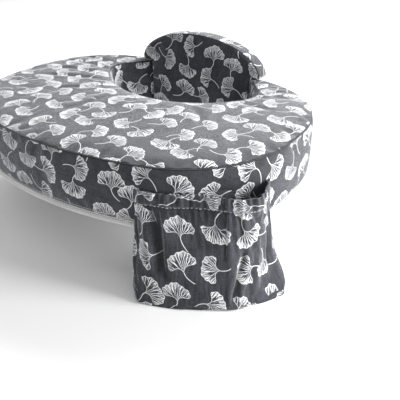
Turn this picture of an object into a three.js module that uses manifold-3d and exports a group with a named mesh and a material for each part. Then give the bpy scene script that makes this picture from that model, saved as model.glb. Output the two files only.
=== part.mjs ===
// Wrap-round nursing pillow: a firm C-shaped foam pad in a zipped slipcover, with a hanging pocket on its
// front corner and a hinged, buckled backrest that closes the ring behind the wearer.
// Millimetres, +Z up. The origin is the middle of the waist opening, level with the pad's underside.
// -Y is the wide front of the pad, +Y is the backrest, and the pocket hangs on the +X side of the front.
import * as THREE from "three";
import { mergeVertices } from "three/addons/utils/BufferGeometryUtils.js";
import Module from "manifold-3d";

const wasm = await Module();
wasm.setup();

// ---- driving dimensions: the pad -------------------------------------------------------------------
const PAD_THICK = 110;
const HALF_WIDTH = 320;
const FRONT_Y = -345; // foremost point of the outer band
const FRONT_RADIUS = 630; // the broad front edge
const CORNER_RADIUS = 200; // front and rear corners
const SIDE_STRAIGHT = 45; // straight side between the two corners
const TIP_RADIUS = 17; // rounded ends of the arms
const TIP_ANGLE = 82; // where the rear corner runs into the arm's end, degrees
const WAIST_FRONT_Y = -90; // front edge of the waist opening
const WAIST_RADIUS = 195;
const WAIST_CORNER_RADIUS = 45;
const WAIST_CORNER_X = 128;

// ---- driving dimensions: cloth and zip -------------------------------------------------------------
const CLOTH = 1.2;
const GAP = 0.4; // clearance between neighbouring pieces
const ZIP_LOW = 1.6; // lower edge of the lower tape
const TAPE_HIGH = 1.9;
const CHAIN_HIGH = 2.6;
const CHAIN_PROUD = 0.6; // how far the closed chain stands out of the band
const CHAIN_GAP = 0.3; // clearance between the chain and each tape
const ZIP_END_ANGLE = 40; // the zip's open end, on the +X rear corner, degrees
const SLIDER_LONG = 10;
const PULL_LONG = 24;

// ---- driving dimensions: the pocket ----------------------------------------------------------------
const POCKET_AZIMUTH = 38; // direction that the pocket faces, degrees from -Y towards +X
const POCKET_TOP = 72;
const POCKET_BOTTOM = -108;
const POCKET_LEFT = -92;
const POCKET_RIGHT_TOP = 98;
const POCKET_RIGHT_BOTTOM = 144;
const POCKET_BACK_RIGHT = 116;
const POCKET_CLOTH = 1.4;
const HEM_HIGH = 26; // casing that holds the elastic
const ELASTIC_WIDE = 19;

// ---- driving dimensions: the backrest --------------------------------------------------------------
const BACK_FRONT_Y = 90;
const BACK_THICK = 34;
const BACK_HALF_LOW = 123; // between the arms
const BACK_HALF_HIGH = 148; // over the arms' ends
const BACK_SHOULDER = 114; // underside of the ears, just over the pad's top
const BACK_TOP = 186;
const BACK_BASE = 2;

// ---- driving dimensions: strap and buckle ----------------------------------------------------------
const STRAP_Z = 60;
const WEBBING_WIDE = 25;
const WEBBING = 1.4;
const STRAP_Y = 131.4; // middle of the strap's thickness
const BUCKLE_TILT = -8; // the buckle follows the arm round, degrees about +Z
const PLUG_X = 110; // edge of the plug's webbing slot
const PLUG_BASE_X = 12; // root of the plug's latch arms
const SOCKET_AWAY = 34; // from the plug's slot edge to the socket's mouth, released by 3 mm
const HINGE_X = -126.5;
const HINGE_Y = 125;

const deg = THREE.MathUtils.degToRad;
const { lerp, smoothstep } = THREE.MathUtils;
const v2 = (x, y) => new THREE.Vector2(x, y);
const polar = (centre, radius, angle) =>
  v2(centre.x + radius * Math.cos(deg(angle)), centre.y + radius * Math.sin(deg(angle)));

// ---- materials -------------------------------------------------------------------------------------
const finish = (color, roughness, metalness = 0) =>
  new THREE.MeshStandardMaterial({ color, roughness, metalness });
const FINISHES = {
  foam: () => finish(0xe9e0c4, 0.95),
  print: () => finish(0x77797f, 0.9),
  webbing: () => finish(0x4d4d52, 0.85),
  zipTape: () => finish(0xe4e1e0, 0.85),
  zipMetal: () => finish(0xc9cacc, 0.3, 0.9),
  plastic: () => finish(0x3e3e43, 0.45),
  elastic: () => finish(0xeeeeea, 0.9),
  label: () => finish(0xf4f4f0, 0.8),
};

// ---- geometry helpers ------------------------------------------------------------------------------
function arc(centre, radius, from, to, step = 8) {
  const count = Math.max(1, Math.round(Math.abs(to - from) / step));
  return Array.from({ length: count + 1 }, (_, i) => polar(centre, radius, lerp(from, to, i / count)));
}

// An upright prism on an outline in the XY plane.
function prism(outline, low, high) {
  const shape = new THREE.Shape(outline);
  return new THREE.ExtrudeGeometry(shape, { depth: high - low, bevelEnabled: false }).translate(0, 0, low);
}

// The outline between two offset copies of one path.
const between = (near, far) => [...near, ...far.slice().reverse()];

// A path moved sideways by a distance, to its left when the distance is positive.
function offset(path, distance) {
  return path.map((p, i) => {
    const before = path[Math.max(i - 1, 0)];
    const after = path[Math.min(i + 1, path.length - 1)];
    const into = p.clone().sub(before).normalize();
    const out = after.clone().sub(p).normalize();
    const along = into.clone().add(out).normalize();
    const mitre = i > 0 && i < path.length - 1 ? 1 / Math.max(along.dot(out), 0.5) : 1;
    return v2(p.x - along.y * distance * mitre, p.y + along.x * distance * mitre);
  });
}

// A flat band that stands on edge along a path: webbing, tape or a folded casing.
const ribbon = (path, thick, low, high) =>
  prism(between(offset(path, thick / 2), offset(path, -thick / 2)), low, high);

// A smooth path through a few points.
const smooth = (points, count) => new THREE.SplineCurve(points.map(([x, y]) => v2(x, y))).getPoints(count);

const box = (x0, x1, y0, y1, z0, z1) =>
  new THREE.BoxGeometry(x1 - x0, y1 - y0, z1 - z0).translate((x0 + x1) / 2, (y0 + y1) / 2, (z0 + z1) / 2);

function solidOf(geometry) {
  const bare = new THREE.BufferGeometry().setAttribute("position", geometry.getAttribute("position"));
  if (geometry.index) bare.setIndex(geometry.index);
  const merged = mergeVertices(bare, 1e-4);
  return new wasm.Manifold(
    new wasm.Mesh({
      numProp: 3,
      vertProperties: merged.getAttribute("position").array,
      triVerts: new Uint32Array(merged.index.array),
    }),
  );
}

function geometryOf(solid) {
  const mesh = solid.getMesh();
  return new THREE.BufferGeometry()
    .setAttribute("position", new THREE.BufferAttribute(mesh.vertProperties, 3))
    .setIndex(new THREE.BufferAttribute(mesh.triVerts, 1));
}

const joined = (...parts) => geometryOf(parts.map(solidOf).reduce((a, b) => a.add(b)));
const cut = (body, ...tools) =>
  geometryOf(tools.map(solidOf).reduce((a, b) => a.subtract(b), solidOf(body)));

// A curved sheet of even thickness: surface(u, v) is its outer face, with u to the right and v upwards.
function sheet(surface, across, up, thick) {
  const outer = [];
  const inner = [];
  const step = 1e-3;
  for (let j = 0; j <= up; j++)
    for (let i = 0; i <= across; i++) {
      const u = i / across;
      const v = j / up;
      const alongU = surface(Math.min(u + step, 1), v).sub(surface(Math.max(u - step, 0), v));
      const alongV = surface(u, Math.min(v + step, 1)).sub(surface(u, Math.max(v - step, 0)));
      const normal = alongU.cross(alongV).normalize();
      const point = surface(u, v);
      outer.push(point);
      inner.push(point.clone().addScaledVector(normal, -thick));
    }
  const points = [...outer, ...inner];
  const row = across + 1;
  const back = outer.length;
  const faces = [];
  const quad = (a, b, c, d) => faces.push(a, b, c, a, c, d);
  for (let j = 0; j < up; j++)
    for (let i = 0; i < across; i++) {
      const a = j * row + i;
      quad(a, a + 1, a + row + 1, a + row);
      quad(back + a + row, back + a + row + 1, back + a + 1, back + a);
    }
  for (let i = 0; i < across; i++) {
    quad(back + i, back + i + 1, i + 1, i);
    const top = up * row + i;
    quad(top, top + 1, back + top + 1, back + top);
  }
  for (let j = 0; j < up; j++) {
    const left = j * row;
    quad(left, left + row, back + left + row, back + left);
    const right = left + across;
    quad(right, back + right, back + right + row, right + row);
  }
  return new THREE.BufferGeometry().setFromPoints(points).setIndex(faces);
}

const pillow = new THREE.Group();

function add(parent, name, look, geometry) {
  const mesh = new THREE.Mesh(geometry, FINISHES[look]());
  mesh.name = name;
  parent.add(mesh);
  return mesh;
}

// ---- the pad's outline -----------------------------------------------------------------------------
// Every stretch is an arc or a tangent line, so an inset copy only changes the radii.
const FRONT_CENTRE = v2(0, FRONT_Y + FRONT_RADIUS);
const CORNER_X = HALF_WIDTH - CORNER_RADIUS;
const FRONT_HALF_ANGLE = THREE.MathUtils.radToDeg(Math.asin(CORNER_X / (FRONT_RADIUS - CORNER_RADIUS)));
const FRONT_CORNER = polar(FRONT_CENTRE, FRONT_RADIUS - CORNER_RADIUS, FRONT_HALF_ANGLE - 90);
const REAR_CORNER = v2(CORNER_X, FRONT_CORNER.y + SIDE_STRAIGHT);
const TIP = polar(REAR_CORNER, CORNER_RADIUS - TIP_RADIUS, TIP_ANGLE);
const WAIST_CENTRE = v2(0, WAIST_FRONT_Y + WAIST_RADIUS);
const WAIST_REACH = WAIST_RADIUS - WAIST_CORNER_RADIUS;
const WAIST_CORNER = v2(WAIST_CORNER_X, WAIST_CENTRE.y - Math.sqrt(WAIST_REACH ** 2 - WAIST_CORNER_X ** 2));
const WAIST_ANGLE = THREE.MathUtils.radToDeg(Math.atan2(WAIST_CORNER.y - WAIST_CENTRE.y, WAIST_CORNER_X));
// The line from the waist corner to the arm's end touches both circles on opposite sides.
const TO_TIP = TIP.clone().sub(WAIST_CORNER);
const TANGENT_TURN = Math.acos((WAIST_CORNER_RADIUS + TIP_RADIUS) / TO_TIP.length());
const TANGENT_ANGLE = THREE.MathUtils.radToDeg(TO_TIP.angle() - TANGENT_TURN);
const BAND_JOIN_ANGLE = 150; // where the outer and inner bands meet on an arm's end

const mirrored = (path) => path.map((p) => v2(-p.x, p.y)).reverse();

// The +X half of the outer edge, from the middle of the front to a place on the arm's end.
function outerHalf(inset, tipTo = BAND_JOIN_ANGLE) {
  return [
    ...arc(FRONT_CENTRE, FRONT_RADIUS - inset, -90, FRONT_HALF_ANGLE - 90, 4),
    ...arc(FRONT_CORNER, CORNER_RADIUS - inset, FRONT_HALF_ANGLE - 90, 0, 7.4).slice(1),
    ...arc(REAR_CORNER, CORNER_RADIUS - inset, 0, TIP_ANGLE, 8.2),
    ...arc(TIP, TIP_RADIUS - inset, TIP_ANGLE, tipTo, 22).slice(1),
  ];
}

// The +X half of the waist opening's edge, from a place on the arm's end to the middle of the front.
function waistHalf(inset, tipFrom = BAND_JOIN_ANGLE) {
  return [
    ...arc(TIP, TIP_RADIUS - inset, tipFrom, TANGENT_ANGLE + 180, 22),
    ...arc(WAIST_CORNER, WAIST_CORNER_RADIUS + inset, TANGENT_ANGLE, WAIST_ANGLE, 12),
    ...arc(WAIST_CENTRE, WAIST_RADIUS + inset, WAIST_ANGLE, -90, 8).slice(1),
  ];
}

const outerPath = (inset) => [...mirrored(outerHalf(inset)), ...outerHalf(inset).slice(1)];
const waistPath = (inset, from) => [
  ...waistHalf(inset, from),
  ...mirrored(waistHalf(inset, from)).slice(1),
];
const padOutline = (inset) => [...outerPath(inset), ...waistPath(inset).slice(1, -1)];

// The zip's course: from a place on the -X side, round the front, to the +X rear corner.
const zipPath = (inset, startY) => [
  v2(inset - HALF_WIDTH, startY),
  ...mirrored(outerHalf(inset)).filter((p) => p.y <= FRONT_CORNER.y + 0.1),
  ...outerHalf(inset).slice(1).filter((p) => p.y <= REAR_CORNER.y + 0.1),
  ...arc(REAR_CORNER, CORNER_RADIUS - inset, 0, ZIP_END_ANGLE, 8).slice(1),
];

function addPad() {
  const pad = new THREE.Group();
  const skin = CLOTH + GAP;
  const bandLow = ZIP_LOW + 2 * TAPE_HIGH + CHAIN_HIGH + 2 * CHAIN_GAP + GAP;
  const bandHigh = PAD_THICK - skin;
  const lowBand = ZIP_LOW;
  add(pad, "pad_foam", "foam", prism(padOutline(skin), skin, bandHigh));
  add(pad, "pad_top_panel", "print", prism(padOutline(CLOTH / 2), PAD_THICK - CLOTH, PAD_THICK));
  add(pad, "pad_bottom_panel", "print", prism(padOutline(CLOTH / 2), 0, CLOTH));
  // Past both ends of the zip the outer band runs down to the bottom panel.
  const pastZipEnd = (inset) => [
    ...arc(REAR_CORNER, CORNER_RADIUS - inset, ZIP_END_ANGLE + 1, TIP_ANGLE, 8.2),
    ...arc(TIP, TIP_RADIUS - inset, TIP_ANGLE, BAND_JOIN_ANGLE, 22).slice(1),
  ];
  const beforeZip = (inset) => mirrored([
    v2(HALF_WIDTH - inset, FRONT_CORNER.y + SLIDER_LONG),
    ...arc(REAR_CORNER, CORNER_RADIUS - inset, 0, TIP_ANGLE, 8.2),
    ...arc(TIP, TIP_RADIUS - inset, TIP_ANGLE, BAND_JOIN_ANGLE, 22).slice(1),
  ]);
  const stretch = (path, low, high) => prism(between(path(CLOTH), path(0)), low, high);
  const overlap = bandLow + 1;
  add(pad, "pad_outer_band", "print", joined(
    stretch(outerPath, bandLow, bandHigh),
    stretch(pastZipEnd, lowBand, overlap),
    stretch(beforeZip, lowBand, overlap),
  ));
  const innerFrom = BAND_JOIN_ANGLE + 4;
  add(pad, "pad_inner_band", "print",
    prism(between(waistPath(0, innerFrom), waistPath(CLOTH, innerFrom)), lowBand, bandHigh));
  return pad;
}

// ---- the zip ---------------------------------------------------------------------------------------
const CHAIN_LOW = ZIP_LOW + TAPE_HIGH + CHAIN_GAP;
const CHAIN_MIDDLE = CHAIN_LOW + CHAIN_HIGH / 2;
const CHAIN_IN = 0.9; // how far the chain reaches into the band
const TAPE_START_Y = FRONT_CORNER.y + SLIDER_LONG - GAP;
const CHAIN_START_Y = FRONT_CORNER.y + SLIDER_LONG * 0.6;
const STOP_LONG = 2.2;

function addZip() {
  const zip = new THREE.Group();
  const course = (from, to, startY) => between(zipPath(to, startY), zipPath(from, startY));
  const tapeOut = 0.3;
  const tape = (low) => prism(course(tapeOut, CLOTH, TAPE_START_Y), low, low + TAPE_HIGH);
  add(zip, "zipper_tape_lower", "zipTape", tape(ZIP_LOW));
  add(zip, "zipper_tape_upper", "zipTape", tape(CHAIN_LOW + CHAIN_HIGH + CHAIN_GAP));
  add(zip, "zipper_chain", "zipTape",
    prism(course(-CHAIN_PROUD, CHAIN_IN, CHAIN_START_Y), CHAIN_LOW, CHAIN_LOW + CHAIN_HIGH));
  // A crimped stop beyond each end of the chain; x points out of the band and y along the chain.
  const stop = (name, at, turn) => {
    const place = new THREE.Group();
    place.position.set(at.x, at.y, 0);
    place.rotation.z = deg(turn);
    zip.add(place);
    add(place, name, "zipMetal", box(-CHAIN_IN, CHAIN_PROUD + 0.3, -STOP_LONG / 2, STOP_LONG / 2,
      CHAIN_LOW, CHAIN_LOW + CHAIN_HIGH));
  };
  stop("zipper_top_stop", v2(-HALF_WIDTH, CHAIN_START_Y + STOP_LONG / 2 + 0.4), 180);
  const endAngle = ZIP_END_ANGLE + 0.5;
  stop("zipper_bottom_stop", polar(REAR_CORNER, CORNER_RADIUS, endAngle), endAngle);
  return zip;
}

// The slider straddles the chain at the closed end; x points out of the band and y along the chain.
function addSlider() {
  const slider = new THREE.Group();
  slider.position.set(-HALF_WIDTH, FRONT_CORNER.y, CHAIN_MIDDLE);
  slider.rotation.z = Math.PI;
  const half = SLIDER_LONG / 2;
  const plateIn = CHAIN_PROUD + 0.3;
  const plateOut = plateIn + 1.3;
  const flangeHigh = CHAIN_HIGH / 2 + 0.3;
  const wide = flangeHigh + 1.2;
  const outline = [v2(-half, -wide), v2(half * 0.2, -wide), v2(half, -wide + 1.2),
    v2(half, wide - 1.2), v2(half * 0.2, wide), v2(-half, wide)];
  const plate = new THREE.ExtrudeGeometry(new THREE.Shape(outline), { depth: 1.3, bevelEnabled: false })
    .rotateY(Math.PI / 2).rotateX(Math.PI / 2).translate(plateIn, 0, 0);
  const flange = (low, high) => box(0, plateIn + 0.1, -half, half * 0.2, low, high);
  // The bail is a low bridge along the slider, and the pull's crossbar turns under it.
  const bailIn = plateOut + 2;
  const bailOut = bailIn + 0.9;
  const post = (y) => box(plateOut - 0.1, bailOut, y - 0.6, y + 0.6, -1, 1);
  const bridge = box(bailIn, bailOut, -3, 3, -1, 1);
  add(slider, "zipper_slider", "zipMetal",
    joined(plate, flange(flangeHigh, wide), flange(-wide, -flangeHigh), post(-2.4), post(2.4), bridge));
  const pivot = plateOut + 1;
  const tab = box(pivot - 0.5, pivot + 0.5, -0.6, PULL_LONG, -2.9, 2.9);
  const eye = box(pivot - 2, pivot + 2, 0.6, 4.8, -1.4, 1.4);
  const gripHole = new THREE.CylinderGeometry(1.2, 1.2, 6, 12).rotateZ(Math.PI / 2)
    .translate(pivot, PULL_LONG - 3.5, 0);
  add(slider, "zipper_pull", "zipMetal", cut(tab, eye, gripHole));
  return slider;
}

// ---- the pocket ------------------------------------------------------------------------------------
// Local axes: x runs across the pocket, -y points out of the band, z up. The band's corner arc touches
// the local origin.
const bandAt = (x) => CORNER_RADIUS - Math.sqrt(CORNER_RADIUS ** 2 - x ** 2);
const POCKET_BACK_OUT = 1.6; // clear of the closed zip chain
const HEM_LAYER = 1;
const HEM_DEEP = 3.8;
const mouthOut = (x) => bandAt(x) - 8.2 - 38 * smoothstep(x, -10, 95);
const baseOut = (x) => -66 + 24 * ((x - 25) / 115) ** 2;
const hemLow = POCKET_TOP - HEM_HIGH;

// Outer face of the front panel, from its lower left to its upper right corner.
function pocketFront(u, v) {
  const x = lerp(POCKET_LEFT, lerp(POCKET_RIGHT_BOTTOM, POCKET_RIGHT_TOP, v), u);
  return new THREE.Vector3(x, lerp(baseOut(x), mouthOut(x), v), lerp(POCKET_BOTTOM, hemLow - GAP, v));
}

// Outer face of the left side: from the back panel forward to the front panel.
function pocketLeft(u, v) {
  const front = pocketFront(0, v);
  const rearY = bandAt(POCKET_LEFT) - 2;
  return new THREE.Vector3(POCKET_LEFT - GAP - POCKET_CLOTH, lerp(rearY, front.y, u), front.z);
}

// Outer face of the right side: from the front panel back to the band.
function pocketRight(u, v) {
  const front = pocketFront(1, v);
  const rearX = POCKET_BACK_RIGHT + 4;
  const rearY = bandAt(POCKET_BACK_RIGHT) - 1;
  return new THREE.Vector3(lerp(front.x + GAP + POCKET_CLOTH, rearX, u), lerp(front.y, rearY, u), front.z);
}

function hemPath() {
  const front = Array.from({ length: 13 }, (_, i) => lerp(POCKET_LEFT, 86, i / 12));
  const corner = [[98, mouthOut(96) + 1], [106, -9], [112, 2], [116.5, 14], [119.5, 26]];
  return [...front.map((x) => v2(x, mouthOut(x))), ...corner.map(([x, y]) => v2(x, y))];
}

function addPocket() {
  const pocket = new THREE.Group();
  const seat = polar(FRONT_CORNER, CORNER_RADIUS, POCKET_AZIMUTH - 90);
  pocket.position.set(seat.x, seat.y, 0);
  pocket.rotation.z = deg(POCKET_AZIMUTH);
  const thick = POCKET_CLOTH;
  const angleAt = (x) => THREE.MathUtils.radToDeg(Math.asin(x / CORNER_RADIUS)) - 90;
  const backPath = (out) => arc(v2(0, CORNER_RADIUS), CORNER_RADIUS + out,
    angleAt(POCKET_LEFT + 2), angleAt(POCKET_BACK_RIGHT), 6);
  const backFace = backPath(POCKET_BACK_OUT);
  add(pocket, "pocket_back", "print",
    prism(between(backPath(POCKET_BACK_OUT + thick), backFace), POCKET_BOTTOM + thick + GAP, POCKET_TOP));
  add(pocket, "pocket_front", "print", sheet(pocketFront, 12, 5, thick));
  add(pocket, "pocket_side_left", "print", sheet(pocketLeft, 4, 5, thick));
  add(pocket, "pocket_side_right", "print", sheet(pocketRight, 4, 5, thick));
  const edge = thick + 2 * GAP;
  const baseSteps = 9;
  const baseFront = Array.from({ length: baseSteps + 1 }, (_, i) => {
    const x = lerp(POCKET_LEFT + GAP, POCKET_RIGHT_BOTTOM - edge + GAP, i / baseSteps);
    return v2(x, baseOut(x) + edge);
  });
  add(pocket, "pocket_base", "print",
    prism(between(baseFront, backFace), POCKET_BOTTOM, POCKET_BOTTOM + thick));
  // The casing is one strip folded over the elastic, open along its lower edge.
  const path = hemPath();
  const layer = (near, far, low, high) => prism(between(offset(path, near), offset(path, far)), low, high);
  add(pocket, "pocket_hem", "print", joined(
    layer(0, HEM_LAYER, hemLow, POCKET_TOP),
    layer(HEM_DEEP - HEM_LAYER, HEM_DEEP, hemLow, POCKET_TOP),
    layer(0, HEM_DEEP, POCKET_TOP - HEM_LAYER, POCKET_TOP),
  ));
  const elasticTop = POCKET_TOP - HEM_LAYER - 2 * GAP;
  add(pocket, "pocket_elastic", "elastic", layer(1.5, 2.3, elasticTop - ELASTIC_WIDE, elasticTop));
  return pocket;
}

// ---- the backrest ----------------------------------------------------------------------------------
const BACK_REAR_Y = BACK_FRONT_Y + BACK_THICK;
const ARCH_HIGH = BACK_TOP - BACK_SHOULDER;

// Seen from the front: a block between the arms, with an arched head that reaches over the arms' ends.
function backOutline(inset) {
  const low = BACK_HALF_LOW - inset;
  const wide = BACK_HALF_HIGH - inset;
  const high = ARCH_HIGH - inset;
  const start = THREE.MathUtils.radToDeg(Math.asin(inset / high));
  const arch = arc(v2(0, 0), 1, start, 180 - start, 8)
    .map((p) => v2(p.x * wide, BACK_SHOULDER + p.y * high));
  return [v2(-low, BACK_BASE + inset), v2(low, BACK_BASE + inset), v2(low, BACK_SHOULDER + inset),
    ...arch, v2(-low, BACK_SHOULDER + inset)];
}

// A slab that stands upright, its outline drawn in X and Z.
function upright(outline, frontY, rearY, hole) {
  const shape = new THREE.Shape(outline);
  if (hole) shape.holes.push(new THREE.Path(hole));
  return new THREE.ExtrudeGeometry(shape, { depth: rearY - frontY, bevelEnabled: false })
    .rotateX(Math.PI / 2).translate(0, rearY, 0);
}

function addBackrest() {
  const backrest = new THREE.Group();
  const skin = CLOTH + GAP;
  const panel = backOutline(CLOTH / 2);
  add(backrest, "backrest_foam", "foam",
    upright(backOutline(skin), BACK_FRONT_Y + skin, BACK_REAR_Y - skin));
  add(backrest, "backrest_front_panel", "print", upright(panel, BACK_FRONT_Y, BACK_FRONT_Y + CLOTH));
  add(backrest, "backrest_rear_panel", "print", upright(panel, BACK_REAR_Y - CLOTH, BACK_REAR_Y));
  add(backrest, "backrest_edge_band", "print",
    upright(backOutline(0), BACK_FRONT_Y + skin, BACK_REAR_Y - skin, backOutline(CLOTH).reverse()));
  return backrest;
}

// The cloth hinge between the -X arm and the backrest: one leaf sewn to each.
function addHinge() {
  const hinge = new THREE.Group();
  const leafLow = 10;
  const leafHigh = 104;
  const cornerCentre = v2(-REAR_CORNER.x, REAR_CORNER.y);
  const onBand = arc(cornerCentre, CORNER_RADIUS + GAP + CLOTH / 2, 116, 98, 4);
  add(hinge, "hinge_tape_pad", "print",
    ribbon([...onBand, v2(HINGE_X - 0.7, HINGE_Y)], CLOTH, leafLow, leafHigh));
  add(hinge, "hinge_tape_backrest", "print",
    ribbon([v2(HINGE_X + 0.7, HINGE_Y), v2(HINGE_X + 36, HINGE_Y)], CLOTH, leafLow, leafHigh));
  const label = arc(cornerCentre, CORNER_RADIUS + 0.7, 152, 145.6, 3.2);
  add(hinge, "care_label", "label", ribbon(label, 0.5, 14, 48));
  return hinge;
}

// ---- strap, adjuster and buckle --------------------------------------------------------------------
const BAR = 1.5; // radius of the bars that webbing goes round
const WRAP = BAR + 0.25 + WEBBING / 2; // radius of the webbing's path round a bar
const LAYER = WEBBING + 0.3; // spacing of two layers sewn together
const webLow = STRAP_Z - WEBBING_WIDE / 2;
const webHigh = STRAP_Z + WEBBING_WIDE / 2;

const barAcross = (x, y, radius, half) =>
  new THREE.CylinderGeometry(radius, radius, 2 * half, 12).rotateX(Math.PI / 2).translate(x, y, STRAP_Z);

// A box given by its length, its thickness and how far it reaches above and below the strap's middle.
const strapBox = (x0, x1, y0, y1, low, high) => box(x0, x1, y0, y1, STRAP_Z + low, STRAP_Z + high);

function addAdjuster() {
  const group = new THREE.Group();
  const railX = [46.4, 66.2];
  const railY = [126.2, 135.2];
  const rail = (side) => strapBox(...railX, ...railY, side > 0 ? 13.5 : -16.8, side > 0 ? 16.8 : -13.5);
  const tabBar = v2(48.2, BACK_REAR_Y + 0.35 + WEBBING / 2 + WRAP);
  const gripBar = STRAP_Y - WEBBING / 2 - 0.4 - BAR;
  const topBar = STRAP_Y + WEBBING / 2 + 0.4 + BAR;
  add(group, "strap_adjuster", "plastic", joined(
    rail(1), rail(-1),
    barAcross(tabBar.x, tabBar.y, BAR, 14),
    barAcross(56.4, gripBar, BAR, 14),
    barAcross(64.2, topBar, BAR, 14),
  ));
  const first = tabBar.y - WRAP;
  const second = first + LAYER;
  const path = [
    v2(-10, first), v2(40, first),
    ...arc(tabBar, WRAP, -90, 90, 22),
    v2(44, tabBar.y + WRAP - 0.5), v2(38, second + 0.8), v2(33, second), v2(8, second),
  ];
  add(group, "adjuster_tab", "webbing", ribbon(path, WEBBING, webLow, webHigh));
  return group;
}

// Everything on the buckle shares axes laid along it: x towards the socket, y away from the wearer.
function buckleFrame() {
  const frame = new THREE.Group();
  frame.position.set(PLUG_X, STRAP_Y, 0);
  frame.rotation.z = deg(BUCKLE_TILT);
  return frame;
}
const onBuckle = (x, y) => v2(x, y).rotateAround(v2(0, 0), deg(BUCKLE_TILT)).add(v2(PLUG_X, STRAP_Y));

function addStrap() {
  const strap = new THREE.Group();
  const bar = onBuckle(-2, 0);
  const tailX = -62;
  const under = STRAP_Y - LAYER;
  const path = [
    v2(tailX, STRAP_Y), v2(92, STRAP_Y), v2(98, STRAP_Y + 0.4), v2(104, STRAP_Y + 1.9),
    ...arc(bar, WRAP, 90, -90, 22),
    v2(104, under - 0.4), v2(98, under), v2(91, under),
  ];
  add(strap, "strap_webbing", "webbing", ribbon(path, WEBBING, webLow, webHigh));
  const plug = buckleFrame();
  strap.add(plug);
  const half = 15.5;
  const rail = (side) => strapBox(-3.6, 4.4, -2.75, 2.75, side > 0 ? 13 : -half, side > 0 ? half : -13);
  const bridge = strapBox(4.2, PLUG_BASE_X, -2.75, 2.75, -half, half);
  const tongue = strapBox(PLUG_BASE_X - 0.2, 30, -1.9, 1.9, -3, 3);
  const bore = new THREE.CylinderGeometry(BAR, BAR, 28, 12).rotateX(Math.PI / 2).translate(-2, 0, STRAP_Z);
  add(plug, "buckle_plug", "plastic", joined(rail(1), rail(-1), bridge, tongue, bore));
  // Each latch arm bends at its root; its barb snaps into a side window of the socket.
  const armThick = 4.4;
  const armOutline = [
    [0.5, 8.2], [19, 8.6], [19, 11.2], [16.5, 15.3], [10, 15.3], [10, 12.2], [8, 11.6], [0.5, 11.6],
  ];
  const arm = (side) => {
    const shape = new THREE.Shape(armOutline.map(([x, z]) => v2(x + PLUG_BASE_X, z * side)));
    return new THREE.ExtrudeGeometry(shape, { depth: armThick, bevelEnabled: false })
      .rotateX(Math.PI / 2).translate(0, armThick / 2, STRAP_Z);
  };
  add(plug, "buckle_latch_upper", "plastic", arm(1));
  add(plug, "buckle_latch_lower", "plastic", arm(-1));
  return strap;
}

function addSocket() {
  const group = new THREE.Group();
  const frame = buckleFrame();
  group.add(frame);
  const place = new THREE.Group();
  place.position.x = SOCKET_AWAY;
  frame.add(place);
  const long = 32;
  const body = strapBox(0, long, -5.6, 5.6, -17.5, 17.5);
  const cavity = strapBox(-1, 21, -3.9, 3.9, -13.4, 13.4);
  const window = (side) => strapBox(9.2, 19.8, -3, 3, side > 0 ? 12.9 : -18, side > 0 ? 18 : -12.9);
  const slot = strapBox(23.2, long + 1, -6, 6, -13, 13);
  const barX = long - 2;
  const bar = new THREE.CylinderGeometry(BAR, BAR, 28, 12).rotateX(Math.PI / 2).translate(barX, 0, STRAP_Z);
  const thinned = cut(body, cavity, window(1), window(-1), slot);
  add(place, "buckle_socket", "plastic", joined(thinned, bar));
  // The webbing lies along the band, leaves it on a tangent, goes round the socket's bar and doubles back.
  const barAt = onBuckle(SOCKET_AWAY + barX, 0);
  const leave = 58;
  const onBand = arc(REAR_CORNER, CORNER_RADIUS + GAP + WEBBING / 2, 45, leave, 4.4);
  const from = onBand.at(-1);
  const heading = barAt.clone().sub(from).normalize();
  const side = v2(-heading.y, heading.x); // towards the band
  const beside = (along, across) =>
    barAt.clone().addScaledVector(heading, along).addScaledVector(side, across);
  const turn = THREE.MathUtils.radToDeg(side.angle());
  const path = [
    ...onBand, beside(-24, WRAP), beside(-8, WRAP),
    ...arc(barAt, WRAP, turn, turn - 180, 22),
    beside(-5, 1.3 - WRAP), beside(-11, WRAP - LAYER - 0.4),
    beside(-16, WRAP - LAYER), beside(-30, WRAP - LAYER),
  ];
  add(group, "socket_tab", "webbing", ribbon(path, WEBBING, webLow, webHigh));
  return group;
}

pillow.add(addPad(), addZip(), addSlider(), addPocket(), addBackrest(), addHinge(), addAdjuster(),
  addStrap(), addSocket());
export default pillow;
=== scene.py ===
import math

import bmesh
import bpy
import numpy as np
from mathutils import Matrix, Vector, noise
from mathutils.bvhtree import BVHTree


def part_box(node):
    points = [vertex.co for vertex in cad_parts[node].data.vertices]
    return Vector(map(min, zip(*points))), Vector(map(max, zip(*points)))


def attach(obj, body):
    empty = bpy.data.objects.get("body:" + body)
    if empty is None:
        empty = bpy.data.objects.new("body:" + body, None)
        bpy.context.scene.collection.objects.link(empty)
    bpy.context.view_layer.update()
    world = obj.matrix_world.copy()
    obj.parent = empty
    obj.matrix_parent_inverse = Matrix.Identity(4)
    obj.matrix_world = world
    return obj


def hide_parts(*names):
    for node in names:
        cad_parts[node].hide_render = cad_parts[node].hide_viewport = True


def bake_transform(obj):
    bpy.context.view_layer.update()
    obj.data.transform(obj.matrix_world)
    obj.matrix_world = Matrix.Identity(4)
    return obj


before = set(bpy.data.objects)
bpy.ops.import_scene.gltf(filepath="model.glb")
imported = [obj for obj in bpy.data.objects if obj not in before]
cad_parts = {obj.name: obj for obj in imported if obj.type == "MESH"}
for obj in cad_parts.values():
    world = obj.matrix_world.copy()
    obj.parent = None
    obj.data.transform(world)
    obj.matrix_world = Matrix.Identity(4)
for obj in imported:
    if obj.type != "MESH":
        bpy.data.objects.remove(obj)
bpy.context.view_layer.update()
scene = bpy.context.scene

# Lengths are in millimetres and angles in degrees, unless a line says otherwise.
MM = 0.001  # of a metre
CLOTH_UNIT = 10.0  # cloth coordinates to a metre: 1 is 0.1 m of flat cloth

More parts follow.
